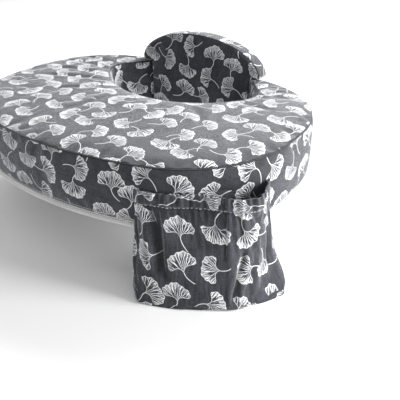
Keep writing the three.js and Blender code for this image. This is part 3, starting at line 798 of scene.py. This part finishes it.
def pad_panel(columns, top):
    near = outer.at(columns * outer.length) - outer.right(columns * outer.length) * SEAM_IN
    far = waist.at(columns * waist.length) + waist.right(columns * waist.length) * SEAM_IN
    far[0], far[-1] = near[0], near[-1]
    length = np.linalg.norm(far - near, axis=1)
    share = across_shares(length)
    flat = near[None] * (1 - share[..., None]) + far[None] * share[..., None]
    edge = np.minimum(share, 1 - share) * length
    wide = smoothstep(length, 20, 190)
    lip = 1 - falloff(edge, 1.2)
    if top:
        z = SEAM_Z + lip + 2.6 * wide * (1 - falloff(edge, 24))
        cloth = turned(flat, CLOTH_TURN, (9, 14))
    else:
        z = BASE_SEAM_Z - 0.9 * lip - 1.2 * wide * (1 - falloff(edge, 30))
        cloth = turned(flat * [-1, 1], -CLOTH_TURN)
    # Paler in a band just in from the seam, and painted shade in the seam's crease.
    paling_and_painted_shade = 0.35 * bell(edge, 3.4, 1.8) - 1.6 * falloff(edge, 0.9)
    return np.dstack([flat, z]), cloth, paling_and_painted_shade


def pad_band(columns, path, side):
    """The upright band. side is 1 on the outer edge and -1 at the waist, where outward is to the left."""
    along = columns * path.length
    inset = np.repeat(BAND_IN_PLAIN[:, None], len(along), axis=1)
    if side > 0:
        zipped = smoothstep(along, ZIP_FROM - 3, ZIP_FROM + 1)
        zipped = zipped * (1 - smoothstep(along, ZIP_TO - 1, ZIP_TO + 3))
        inset = lerp(inset, BAND_IN_ZIP[:, None], zipped)
        # Taut near the arms' ends, where the label, the hinge and the buckle's webbing are sewn on.
        to_end = np.minimum(along, path.length - along)
        inset = np.where(inset < 0, inset * (0.15 + 0.85 * smoothstep(to_end, *TAUT_END)), inset)
    flat = path.at(along)[None] - side * path.right(along)[None] * inset[..., None]
    z = np.broadcast_to(BAND_Z[:, None], inset.shape)
    unrolled = np.dstack([np.broadcast_to(along - path.length / 2, z.shape), z])
    down = SEAM_Z - z
    # Paler just below the top seam, and painted shade in the creases of the top and base seams.
    paling_and_painted_shade = 0.3 * bell(down, 3.2, 1.6) - 1.8 * falloff(down, 0.9) - 1.2 * falloff(z - BASE_SEAM_Z, 0.8)
    return np.dstack([flat, z]), turned(unrolled, BAND_TURN * side, (21, 6)), paling_and_painted_shade


def make_pad():
    # The columns lie closer together towards the arms' ends.
    even = np.linspace(0, 1, PAD_COLUMNS)
    columns = even - 0.45 * np.sin(2 * math.pi * even) / (2 * math.pi)
    shell = Shell()
    shell.grid(*pad_panel(columns, True))
    shell.grid(*pad_panel(columns, False), flip=True)
    shell.grid(*pad_band(columns, outer, 1), flip=True)
    shell.grid(*pad_band(columns, waist, -1))
    return shell.build("pad_cushion", join=0.05, outward=True)


def edge_distance(co):
    """Distance in plan from each point to the pad's outline."""
    line = np.concatenate([path.at(np.arange(0, path.length, 2.0)) for path in (outer, waist)])
    return np.min([np.hypot(co[:, 0] - p[0], co[:, 1] - p[1]) for p in line], axis=0)


# Creases of the top panel: a line in plan, the depth and the width.
TOP_FOLDS = [
    # soft creases that run out over the -X arm from the corner of the waist
    ([(-118, -66), (-150, -74), (-208, -92), (-262, -118)], 2.6, 6.5),
    ([(-136, -44), (-178, -44), (-232, -52), (-286, -76)], 2.4, 7.0),
    ([(-150, -12), (-198, -4), (-250, -2), (-300, -18)], 2.2, 7.0),
    ([(-152, 20), (-196, 34), (-240, 40), (-290, 30)], 1.8, 7.0),
    ([(-92, -86), (-112, -112), (-150, -142), (-176, -176)], 1.9, 6.5),
    # slack across the broad front and by the +X corner
    ([(-60, -106), (-52, -150), (-66, -206), (-96, -262)], 1.2, 7.5),
    ([(-18, -110), (22, -160), (48, -214), (52, -268)], 1.4, 8.0),
    ([(40, -106), (84, -150), (120, -204), (132, -252)], 1.2, 7.5),
    ([(96, -84), (140, -120), (176, -168)], 1.5, 8.0),
    ([(150, -20), (196, -34), (250, -36)], 1.5, 7.0),
    ([(154, 30), (190, 40), (228, 36)], 1.3, 6.0),
]


def detail_pad(pad):
    """Creases the top, puckers the seams and unevens the rest."""
    co = coordinates(pad) / MM
    normals = vertex_normals(pad)
    edge = edge_distance(co)
    top = smoothstep(co[:, 2], SEAM_Z + 0.2, SEAM_Z + 1.0) * (normals[:, 2] > 0.3)
    lift = np.zeros(len(co))
    for crease in TOP_FOLDS:
        lift += top * fold(co[:, :2], *crease)
    lift *= smoothstep(edge, 0, 14)
    seam = np.hypot(edge - SEAM_IN, co[:, 2] - SEAM_Z)
    pucker = rough(co, 9.0, 3) + 0.6 * rough(co, 4.5, 5)
    lift += 0.55 * pucker * falloff(seam, 7) * smoothstep(seam, 0.4, 3)
    lift += 0.3 * rough(co, 8.0, 8) * falloff(np.abs(co[:, 2] - 14), 7) * (edge < 5)
    lift += (0.9 * rough(co, 55.0, 11) + 0.35 * rough(co, 21.0, 14)) * smoothstep(seam, 6, 40)
    set_coordinates(pad, (co + normals * lift[:, None]) * MM)


pad = make_pad()
rest = coordinates(pad) / MM
rim = edge_distance(rest)
by_seam = (rim < 3.2) & ((rest[:, 2] > SEAM_Z - 2.8) | (rest[:, 2] < 12))
relax(pad, by_seam | (rest[:, 2] < 2), pressure=2.2, shrink=-0.012, cap=3.0, frames=14)
subdivided(pad)
detail_pad(pad)
fitted(pad, "pad", "printed_cotton", cotton_pad,
       "pad_foam", "pad_top_panel", "pad_bottom_panel", "pad_outer_band", "pad_inner_band")


# The zip

# Sections of the tapes, as places (out, z).
LOWER_TAPE = [(-1.8, 0.6), (2.2, 0.1), (2.9, 0.4), (2.8, 0.9)]
LOWER_TAPE += [(1.6, 2.1), (-0.2, 2.3), (-0.3, 3.5), (-1.8, 3.6)]
UPPER_TAPE = [(-1.8, 6.6), (-0.3, 6.7), (-0.2, 7.9), (1.2, 8.0), (1.5, 8.4), (1.2, 9.1), (-1.8, 9.2)]
COIL_PITCH = 1.75
COIL_LEAN = 0.42
COIL_Z = 5.1


def level(flat, z=0.0):
    """Places or directions in plan as ones at a height."""
    return np.column_stack([flat, np.broadcast_to(z, len(flat))])


def sweep(name, along, section):
    """A band of closed section along the outer edge; the section's places are (out, z)."""
    section = np.array(section + section[:1], float)
    flat = outer.at(along)[None] + outer.right(along)[None] * section[:, :1, None]
    points = np.dstack([flat, np.broadcast_to(section[:, 1:2], flat.shape[:2])])
    around = np.r_[0, np.cumsum(np.linalg.norm(np.diff(section, axis=0), axis=1))]
    shell = Shell().grid(points, np.dstack(np.meshgrid(along, around)))
    return smooth_shaded(shell.build(name, join=0.001, outward=True, filled=True))


def stitch_row(name, along, out, z, long, radius):
    """Stitches that run along the outer edge: out from it, at height z."""
    places = level(outer.at(along) + outer.right(along) * out, z)
    headings = level(outer.heading(along))
    return threads(name, places, headings, level(outer.right(along)), long, radius)


def add_zip():
    along = np.arange(ZIP_FROM, ZIP_TO, 3.0)
    for side, section in (("lower", LOWER_TAPE), ("upper", UPPER_TAPE)):
        tape = sweep(f"zip_tape_{side}_cloth", along, section)
        fitted(tape, "pad", "zip_tape", zip_white, f"zipper_tape_{side}")
    teeth = np.arange(ZIP_FROM + 6, ZIP_TO - 1, COIL_PITCH)
    lean = np.where(np.arange(len(teeth)) % 2, COIL_LEAN, -COIL_LEAN)
    upright = level(outer.heading(teeth)) * lean[:, None] + [0, 0, 1]
    upright /= np.linalg.norm(upright, axis=1, keepdims=True)
    outward = outer.right(teeth)
    places = level(outer.at(teeth) + outward * 0.05, COIL_Z)
    coil = threads("zip_coil", places, upright, level(outward), 2.8, 0.62)
    fitted(coil, "pad", "zip_chain", coil_white, "zipper_chain")
    row = stitch_row("zip_top_stitching", np.arange(ZIP_FROM - 4, ZIP_TO + 4, 3.8), 0.75, 13.0, 3.1, 0.5)
    fitted(row, "pad", "zip_tape", white_thread)


add_zip()
# The small stitches that show in the seam round the top panel.
along = np.arange(16, outer.length - 16, 3.4)
fitted(stitch_row("top_seam_stitching", along, -0.9, SEAM_Z + 0.1, 2.3, 0.42), "pad", "zip_tape", grey_thread)


# The pocket

SEAT = polar(FRONT_CORNER, CORNER_RADIUS, POCKET_AZIMUTH - 90)
ACROSS = direction(POCKET_AZIMUTH)
OUTWARD = np.array([ACROSS[1], -ACROSS[0]])
BAND_OFF = 2.6  # the back of the pocket lies this far off the band
ROOT_OFF = 1.0  # and the seam edges this far
ROOT_LEFT, ROOT_RIGHT = -93.5, 119.0  # where the bag's sides meet the band
FLANGE, SIDE_LEFT, FRONT, SIDE_RIGHT = 2, 14, 90, 20  # columns in each stretch of the wall
FLANGE_WIDE = 5.5
FOLD_Z = POCKET_TOP - 1.2  # where the mouth's fold starts
FOLD_TURN = np.radians([20, 55, 90, 125, 160])
INSIDE_ROWS = 8
GATHER_PITCH, GATHER_DRIFT = 10.5, 23  # wavelengths of the mouth's gathers

# The bag's two front corners: heights, and where they stand across.
LEFT_EDGE = [(-108, -95), (-92, -97), (-60, -96), (-38, -92), (-4, -87), (17, -89), (45, -91), (80, -91)]
RIGHT_EDGE = [(-108, 140), (-100, 148), (-88, 147), (-70, 138), (-48, 130), (-11, 120), (18, 110)]
RIGHT_EDGE += [(45, 100), (80, 97)]

# Folds of the bag: a line of (across, z), the depth, the width, and the share that dies out at each end.
POCKET_FOLDS = [
    # a rounded pleat beside the left edge, and the deep valley next to it
    ([(-82, 50), (-78, 24), (-76, -4), (-78, -40), (-80, -74)], -2.0, 7.0, 0.3),
    ([(-72, 58), (-66, 30), (-61, 2), (-58, -34), (-52, -70)], 7.0, 8.5, 0.3),
    # straight down from the hem
    ([(41, 46), (40, 20), (40, -30)], 2.6, 2.6, 0.2),
    ([(-8, 44), (-10, 24), (-14, 2)], 1.8, 3.2, 0.35),
    ([(12, 44), (10, 28), (6, 10)], 1.6, 3.0, 0.35),
    ([(64, 44), (66, 18), (68, -12)], 2.4, 3.6, 0.3),
    ([(-42, 44), (-44, 26), (-46, 10)], 1.6, 3.4, 0.35),
    # slanting to the bottom right
    ([(77, -8), (68, -36), (59, -68), (50, -101)], 6.5, 5.2, 0.22),
    ([(92, 30), (88, 2), (78, -24)], 2.6, 4.6, 0.3),
    ([(104, 10), (100, -26), (92, -58), (84, -92)], -3.0, 7.0, 0.3),
    # beside the right edge
    ([(113, 6), (117, -24), (119, -68)], 6.0, 4.2, 0.2),
    # slack across the lower left, and from the mouth's right end
    ([(-74, -34), (-48, -58), (-12, -70)], 1.6, 8.0, 0.35),
    ([(-30, 6), (-14, -24), (8, -50)], 1.2, 9.0, 0.35),
    ([(10, -78), (24, -56), (30, -30)], 1.4, 7.0, 0.35),
    ([(52, 36), (60, 8), (58, -22)], 1.6, 5.0, 0.3),
]


def pocket_world(x, out, z):
    """Points of the pocket from its own axes: x across, out from the band's foremost line there, z up."""
    flat = SEAT + x[..., None] * ACROSS + out[..., None] * OUTWARD
    return np.dstack([flat, z]) if flat.ndim == 3 else np.column_stack([flat, z])


def band_out(x):
    return np.sqrt(CORNER_RADIUS**2 - x**2) - CORNER_RADIUS


def edge_at(line, z):
    heights, places = np.array(line, float).T
    return np.interp(z, heights, places)


def pocket_wall():
    """The cloth that goes round the pocket, from the seam edge on the left, over the front, to the one on the
    right. Rows go up to the mouth, over its fold and down inside the casing."""
    low = np.linspace(POCKET_BOTTOM, HEM_LOW - 4, 48)
    casing = np.linspace(HEM_LOW - 1, FOLD_Z, 11)
    inside = np.linspace(FOLD_Z - 0.4, HEM_LOW + 2.2, INSIDE_ROWS)
    z = np.concatenate([low, casing, FOLD_Z + 1.2 * np.sin(FOLD_TURN), inside])[:, None]
    outer_rows = len(low) + len(casing)
    inwards = np.concatenate([np.zeros(outer_rows), 1.7 * (1 - np.cos(FOLD_TURN)), np.full(INSIDE_ROWS, 3.4)])
    inwards[-1] = 1.2
    v = np.clip((z - POCKET_BOTTOM) / (HEM_LOW - POCKET_BOTTOM), 0, 1)
    u = np.linspace(0, 1, FRONT + 1)[None]
    x_front = lerp(edge_at(LEFT_EDGE, z), edge_at(RIGHT_EDGE, z), u)
    # The front runs from the base's edge to the mouth. It bellies out, its right side falls back towards the
    # band, and its foot curls in.
    at_base = 66 - 24 * ((x_front - 25) / 115) ** 2
    at_mouth = band_out(x_front) + 8.2 + 38 * smoothstep(x_front, -10, 95)
    out_front = lerp(at_base, at_mouth, v)
    out_front += 6.0 * np.sin(np.pi * v) * np.sin(np.pi * u) ** 0.6
    out_front -= 44.0 * np.sin(np.pi * v) ** 0.5 * np.clip((x_front - 42) / 84, 0, 1) ** 1.2
    out_front -= 5.0 * (1 - smoothstep(z, POCKET_BOTTOM, POCKET_BOTTOM + 9)) ** 2

    def side(root_x, x_end, out_end, count, bulge):
        t = np.linspace(0, 1, count + 1)[None, :]
        belly = np.sin(np.pi * t) * np.sin(np.pi * np.clip(v * 0.8 + 0.15, 0, 1))
        return lerp(root_x, x_end, t) + bulge * belly, lerp(band_out(root_x) + ROOT_OFF, out_end, t)

    left_x, left_out = side(ROOT_LEFT, x_front[:, :1], out_front[:, :1], SIDE_LEFT, -4.0)
    right_x, right_out = side(ROOT_RIGHT, x_front[:, -1:], out_front[:, -1:], SIDE_RIGHT, 7.0)
    # The seam edges lie on the band, and run out where the band ends.
    reach = (FLANGE_WIDE * smoothstep(z, 1, 10) + 0.3) * np.linspace(1, 0, FLANGE + 1)[None]
    far_left, far_right = ROOT_LEFT - reach, (ROOT_RIGHT + reach)[:, ::-1]
    x = np.hstack([far_left, left_x[:, 1:], x_front[:, 1:], right_x[:, -2::-1], far_right[:, 1:]])
    out = np.hstack([
        band_out(far_left) + ROOT_OFF, left_out[:, 1:], out_front[:, 1:], right_out[:, -2::-1],
        band_out(far_right[:, 1:]) + ROOT_OFF,
    ])
    # The two corners are rounded off.
    columns = np.arange(x.shape[1])
    corners = bell(columns, FLANGE + SIDE_LEFT, 3.0) + bell(columns, FLANGE + SIDE_LEFT + FRONT, 3.0)
    corners = np.clip(corners, 0, 1)[None, 1:-1]
    for _ in range(8):
        for a in (x, out):
            a[:, 1:-1] += corners * 0.5 * (0.5 * (a[:, :-2] + a[:, 2:]) - a[:, 1:-1])
    return x, out, z + x * 0, inwards


def ripples(along, seed):
    """Uneven gathers along the elastic."""
    wander = rough(np.column_stack([along * 0.5, np.zeros(len(along)), np.full(len(along), seed)]), 22.0, seed)
    fine = np.sin(along * 2 * math.pi / GATHER_PITCH + 3.2 * wander)
    broad = np.sin(along * 2 * math.pi / GATHER_DRIFT + 2)
    return (0.5 + 0.5 * fine) ** 1.6 * (0.75 + 0.5 * wander) + 0.35 * broad


def make_pocket():
    x, out, z, inwards = pocket_wall()
    dx, do = np.gradient(x, axis=1), np.gradient(out, axis=1)
    steps = np.hypot(np.diff(x, axis=1), np.diff(out, axis=1))
    along = np.hstack([np.zeros((len(x), 1)), np.cumsum(steps, axis=1)])
    middle = FLANGE + SIDE_LEFT + FRONT // 2
    along = along - along[:, middle:middle + 1]
    # free is 0 at the seams and about 1 away from them.
    first, last = FLANGE, x.shape[1] - FLANGE
    free = np.zeros(x.shape[1])
    free[first:last] = np.sin(np.linspace(0, np.pi, last - first)) ** 0.25
    places = np.column_stack([x.ravel(), z.ravel()])
    lift = np.zeros(x.size)
    for crease in POCKET_FOLDS:
        lift += fold(places, *crease)
    lift = lift.reshape(x.shape)
    lift[:, :FLANGE + SIDE_LEFT // 2] = 0
    lift[:, -FLANGE - SIDE_RIGHT // 2:] = 0
    # Painted shade in the folds' valleys and painted light on their ridges.
    shade = np.clip(lift * 0.07, -0.4, 0.25)
    # The casing and its gathers, which run out below it.
    hem = ripples(along[-1], 4) * free
    # Painted light on the gathers and painted shade between them.
    shade += 0.45 * (hem - 0.4) * smoothstep(z, HEM_LINE - 34, HEM_LINE - 2)
    in_casing = smoothstep(z, HEM_LINE - 1, HEM_LINE + 4)
    below = falloff(np.clip(HEM_LINE - z, 0, None), 24) * (1 - in_casing)
    calm = 1 - 0.7 * bell(z, HEM_LINE, 4.0)
    lift += hem * calm * (3.6 * in_casing + 3.8 * below) - 0.8 * bell(z, HEM_LINE, 1.6) * free
    lift += free * 1.4 * in_casing * np.sin(np.pi * np.clip((z - HEM_LINE) / (POCKET_TOP - HEM_LINE), 0, 1))
    # Unevenness all over, and then the cloth moves along its normals.
    on_cloth = np.column_stack([along.ravel(), z.ravel(), np.zeros(x.size)])
    lift += free * (1.2 * rough(on_cloth, 30.0, 9) + 0.5 * rough(on_cloth, 11.0, 12)).reshape(x.shape)
    # The mouth waves up and down, most at its right end.
    crumple = 0.8 + 1.0 * smoothstep(x, 66, 96)
    mouth_wave = free * crumple * ripples(along[-1] * 0.8 + 7, 6) * smoothstep(z, HEM_LINE, POCKET_TOP)
    inwards = inwards[:, None]
    shift = lift - inwards * (0.5 + 0.5 * free)
    size = np.hypot(dx, do)
    x, out = x - do / size * shift, out + dx / size * shift
    over = len(x) - INSIDE_ROWS - len(FOLD_TURN)
    cloth_z = np.concatenate([z[:over, 0], POCKET_TOP + np.arange(len(x) - over) * 2.6])
    cloth = np.dstack([along, cloth_z[:, None] + along * 0])
    # Paler along the mouth's fold, and painted shade along the hem's stitch line.
    paling_and_painted_shade = shade + 0.5 * bell(z, POCKET_TOP, 2.0) - 0.8 * bell(z, HEM_LINE, 0.8)
    paling_and_painted_shade[-INSIDE_ROWS:] = 0
    shell = Shell()
    wall = pocket_world(x, out, z + mouth_wave - 0.8 * free * (inwards > 0))
    shell.grid(wall, turned(cloth, 9, (16, 12)), paling_and_painted_shade)
    # The back panel, which follows the band, and the base between the two.
    columns = last - first
    back_x, back_z = np.meshgrid(
        np.linspace(ROOT_LEFT, ROOT_RIGHT, columns), np.linspace(POCKET_BOTTOM, POCKET_TOP - 1, 18)
    )
    off = BAND_OFF * np.sin(np.linspace(0, np.pi, columns)) ** 0.3
    back = pocket_world(back_x, band_out(back_x) + off, back_z)
    shell.grid(back, turned(np.dstack([back_x, back_z]), -14, (30, 30)), flip=True)
    t = np.linspace(0, 1, 7)[:, None, None]
    base = wall[0, first:last][None] * (1 - t) + back[0][None] * t
    base[1:-1, :, 2] += 0.6
    shell.grid(base, base[..., :2], flip=True)
    return shell.build("pocket_bag", join=1.2)


def slack_pocket(pocket):
    """Lets the bag's free cloth, a little larger than its outline, buckle and hang below the casing."""
    co = coordinates(pocket) / MM
    x = (co[:, :2] - SEAT) @ ACROSS
    out = (co[:, :2] - SEAT) @ OUTWARD
    held = (out < band_out(x) + 5) | (co[:, 2] > HEM_LINE - 4) | (co[:, 2] < POCKET_BOTTOM + 1.5)
    relax(pocket, held, pressure=0.15, shrink=-0.07, cap=7.0, frames=20,
          gravity=0.4, stiffness=12.0, bending=1.0)


pocket = make_pocket()
slack_pocket(pocket)
thickened(subdivided(pocket), 1.1)
fitted(pocket, "pocket", "printed_cotton", cotton_pocket_painted_lighter, "pocket_back", "pocket_front", "pocket_side_left",
       "pocket_side_right", "pocket_base", "pocket_hem", "pocket_elastic")


def add_stitches(name, surface, rows, body, slot, finish, long=2.2, radius=0.3):
    """Several rows of stitches as one piece. Each row is its starts and the ways to look from them."""
    made = [sewn(name, surface, starts, towards, long, radius) for starts, towards in rows]
    bpy.ops.object.select_all(action="DESELECT")
    for item in made:
        item.select_set(True)
    bpy.context.view_layer.objects.active = made[0]
    bpy.ops.object.join()
    made[0].name = name
    return fitted(made[0], body, slot, finish)


def beside_pocket(x, out, z, way):
    """Places beside the pocket, and one way to look from them."""
    starts = pocket_world(*np.broadcast_arrays(*[np.asarray(a, float) for a in (x, out, z)]))
    return starts, [(*-way, 0)] * len(starts)


stitch_z = np.arange(6, POCKET_TOP - 4, 4.6)
bag = surface_of(pocket)
hem_stitches = add_stitches("pocket_hem_stitching", bag, [
    beside_pocket(np.arange(-88, 96, 6.2), 150, HEM_LINE, OUTWARD),
    beside_pocket(200, np.arange(14, -24, -5.6), HEM_LINE, ACROSS),
], "pocket", "zip_tape", white_thread, 4.4, 0.55)
seam_stitches = add_stitches("pocket_seam_stitching", bag, [
    beside_pocket(x, 150, stitch_z, OUTWARD) for x in (ROOT_LEFT - 3.0, ROOT_RIGHT + 3.0)
], "pocket", "zip_tape", white_thread, 3.0, 0.36)


# The backrest

BACK_CENTRE = np.array([0, 124.0])
BACK_SEAM = 1.2  # how far the seams lie in from the faces and the outline
BACK_RINGS = [0, 0.1, 0.2, 0.3, 0.4, 0.5, 0.59, 0.67, 0.74, 0.8, 0.85, 0.89, 0.925, 0.955, 0.978, 0.991, 1.0]
BACK_BAND_DEPTH = np.array([0, 0.03, 0.09, 0.25, 0.5, 0.75, 0.91, 0.97, 1.0])
BACK_BAND_IN = np.array([BACK_SEAM, 0.4, 0.0, -0.4, -0.5, -0.4, 0.0, 0.4, BACK_SEAM])


def back_outline(count):
    """The backrest's outline in X and Z, from the middle of its base, with rounded corners."""
    low, high = (BACK_HALF_LOW, BACK_BASE), (BACK_HALF_LOW, BACK_SHOULDER)
    side = np.array([(0, BACK_BASE), low, high, (BACK_HALF_HIGH, BACK_SHOULDER)], float)
    arch = np.radians(np.linspace(0, 180, 61))[1:-1]
    rise = BACK_TOP - BACK_SHOULDER
    over = np.stack([BACK_HALF_HIGH * np.cos(arch), BACK_SHOULDER + rise * np.sin(arch)], 1)
    line = Path(side, over, mirrored(side))
    even = line.at(np.linspace(0, line.length, count + 1))[:-1]
    for _ in range(6):
        even = even * 0.5 + 0.25 * (np.roll(even, 1, 0) + np.roll(even, -1, 0))
    return np.vstack([even, even[:1]]), line.length


def make_backrest():
    outline, around = back_outline(264)
    reach = outline - BACK_CENTRE
    far = np.linalg.norm(reach, axis=1)
    front_y, rear_y = BACK_FRONT_Y + BACK_COVER, BACK_REAR_Y - BACK_SEAM
    rings = np.array(BACK_RINGS)[:, None]
    plan = BACK_CENTRE + rings[..., None] * reach * (1 - BACK_SEAM / 110)
    edge = (1 - rings) * far
    # Paler in a band in from the edge, and painted shade in the seam's crease.
    paling_and_painted_shade = 0.4 * bell(edge, 3, 2) - 1.2 * falloff(edge, 0.6)
    shell = Shell()
    plump_front = front_y - 6.5 * (1 - falloff(edge, 20))
    plump_rear = rear_y + 0.5 * (1 - falloff(edge, 6))
    for y, turn in ((plump_front, 12), (plump_rear, -20)):
        points = np.dstack([plan[..., 0], y, plan[..., 1]])
        shell.grid(points, turned(plan, turn, (17, 22)), paling_and_painted_shade, flip=turn < 0)
    band = outline - (reach / far[:, None]) * BACK_BAND_IN[:, None, None]
    band[0] = band[-1] = plan[-1]
    y = lerp(front_y, rear_y, BACK_BAND_DEPTH)[:, None] + band[..., 0] * 0
    along = np.linspace(0, around, len(outline)) + y * 0
    # Painted shade in the creases of the seams at the front and rear faces.
    paling_and_painted_shade = -1.2 * (falloff(y - front_y, 0.6) + falloff(rear_y - y, 0.6))
    shell.grid(np.dstack([band[..., 0], y, band[..., 1]]), turned(np.dstack([along, y]), 30, (5, 5)), paling_and_painted_shade)
    return shell.build("backrest_cushion", join=0.05, outward=True)


backrest = make_backrest()
still = coordinates(backrest)[:, 1] / MM > BACK_FRONT_Y + 1.0
relax(backrest, still, pressure=1.5, shrink=-0.01, cap=3.0, frames=12)
subdivided(backrest)
fitted(backrest, "backrest", "printed_cotton", cotton_back,
       "backrest_foam", "backrest_front_panel", "backrest_rear_panel", "backrest_edge_band")


# Carried-over CAD pieces


def bevelled(name, width, finish):
    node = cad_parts[name]
    modifier = node.modifiers.new("soft_edges", "BEVEL")
    modifier.width = width * MM
    modifier.segments = 2
    modifier.limit_method = "ANGLE"
    modifier.angle_limit = math.radians(28)
    modifier.harden_normals = True
    dress(node, finish)
    smooth_shaded(node)


for name in ("buckle_plug", "buckle_latch_upper", "buckle_latch_lower", "buckle_socket", "strap_adjuster"):
    bevelled(name, 0.5, plastic)
for name in ("zipper_slider", "zipper_pull", "zipper_top_stop", "zipper_bottom_stop"):
    bevelled(name, 0.25, metal)
for name in ("strap_webbing", "adjuster_tab", "socket_tab"):
    bevelled(name, 0.4, webbing)


# The hinge cloth and the label

HINGE = np.array([-126.5, 125.0])
HINGE_LOW, HINGE_HIGH = 10, 104
CLOTH_RADIUS = CORNER_RADIUS + 1.1  # of the middle of cloth sewn on round a corner


def strip(name, line, low, high, rows, thick, ripple):
    """A strip of cloth that stands on edge along a line in plan."""
    flat = line.at(np.linspace(0, line.length, int(line.length / 0.9) + 1))
    along, z = np.meshgrid(np.linspace(0, line.length, len(flat)), np.linspace(low, high, rows))
    edge = np.minimum(np.minimum(along, line.length - along), np.minimum(z - low, high - z))
    places = np.column_stack([along.ravel(), z.ravel(), np.zeros(z.size)])
    puff = ripple * rough(places, 14.0, 21).reshape(z.shape) * smoothstep(edge, 0, 3)
    points = np.dstack([flat - line.right(along[0]) * puff[..., None], z])
    shell = Shell().grid(points, turned(np.dstack([along, z]), 35, (12, 40)), 0.5 * falloff(edge, 1.2))
    return thickened(smooth_shaded(shell.build(name, join=0.01)), thick, offset=0)


hinge_line = Path(
    arc(LEFT_CORNER, CLOTH_RADIUS, 116, 98),
    np.linspace(HINGE + [-1.5, 0], HINGE + [36, 0], 40),
)
hinge = strip("hinge_cloth", hinge_line, HINGE_LOW, HINGE_HIGH, 60, 1.1, ripple=0.25)
dress(hinge, cotton_back)
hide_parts("hinge_tape_pad", "hinge_tape_backrest")
leaf_z = np.arange(HINGE_LOW + 4, HINGE_HIGH - 3, 4.2)


def round_corner(corner, angles, zs):
    """Places outside an arm at angles round its rear corner, and the ways to look from them."""
    outs = [direction(angle) for angle in angles]
    starts = [(*(corner + out * (CORNER_RADIUS + 20)), z) for out, z in zip(outs, zs)]
    return starts, [(*-out, 0) for out in outs]


def behind(xs, zs):
    """Places behind the backrest, and the way to look from them."""
    xs, zs = np.broadcast_arrays(np.asarray(xs, float), zs)
    return np.column_stack([xs, np.full(len(xs), 180.0), zs]), [(0, -1, 0)] * len(xs)


hinge_face = surface_of(hinge)
add_stitches(
    "hinge_stitching_pad", hinge_face,
    [round_corner(LEFT_CORNER, [angle] * len(leaf_z), leaf_z) for angle in (115, 113.4, 101)],
    "pad", "zip_tape", grey_thread, 2.8, 0.75,
)
add_stitches(
    "hinge_stitching_backrest", hinge_face,
    [behind(HINGE[0] + off, leaf_z) for off in (33.5, 30.5, 10)],
    "backrest", "zip_tape", grey_thread, 2.8, 0.75,
)
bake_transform(hinge)

label_line = Path(arc(LEFT_CORNER, CLOTH_RADIUS, 152, 145.6))
label = strip("care_label_cloth", label_line, 14, 48, 30, 0.5, ripple=0.2)
fitted(label, "pad", "label", satin, "care_label")


# The stitching on the webbing

SEWN_LOW, SEWN_HIGH = 50.5, 69.5


def cross_box(x0, x1):
    """A sewn box with a cross in it, from x0 to x1 on the webbing: its separate runs, as (xs, zs)."""
    corners = [(x0, SEWN_LOW), (x1, SEWN_LOW), (x1, SEWN_HIGH), (x0, SEWN_HIGH)]
    runs = []
    for a, b in (*zip(corners, corners[1:] + corners[:1]), (corners[0], corners[2]), (corners[1], corners[3])):
        count = max(2, int(math.dist(a, b) / 3.2))
        runs.append([np.linspace(a[k], b[k], count) for k in (0, 1)])
    return runs


webbing_names = ("adjuster_tab", "strap_webbing", "socket_tab")
tab, tail, socket = [surface_of(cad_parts[name]) for name in webbing_names]
add_stitches("adjuster_tab_stitching", tab, [behind(*run) for run in cross_box(11, 29)],
             "backrest", "webbing", light_thread)
add_stitches("strap_end_stitching", tail, [behind(*run) for run in cross_box(84, 95)],
             "strap", "webbing", light_thread)
add_stitches("socket_tab_stitching", socket, [
    round_corner(REAR_CORNER, 45 + np.degrees(xs / CORNER_RADIUS), zs) for xs, zs in cross_box(3, 22)
], "pad", "webbing", light_thread)
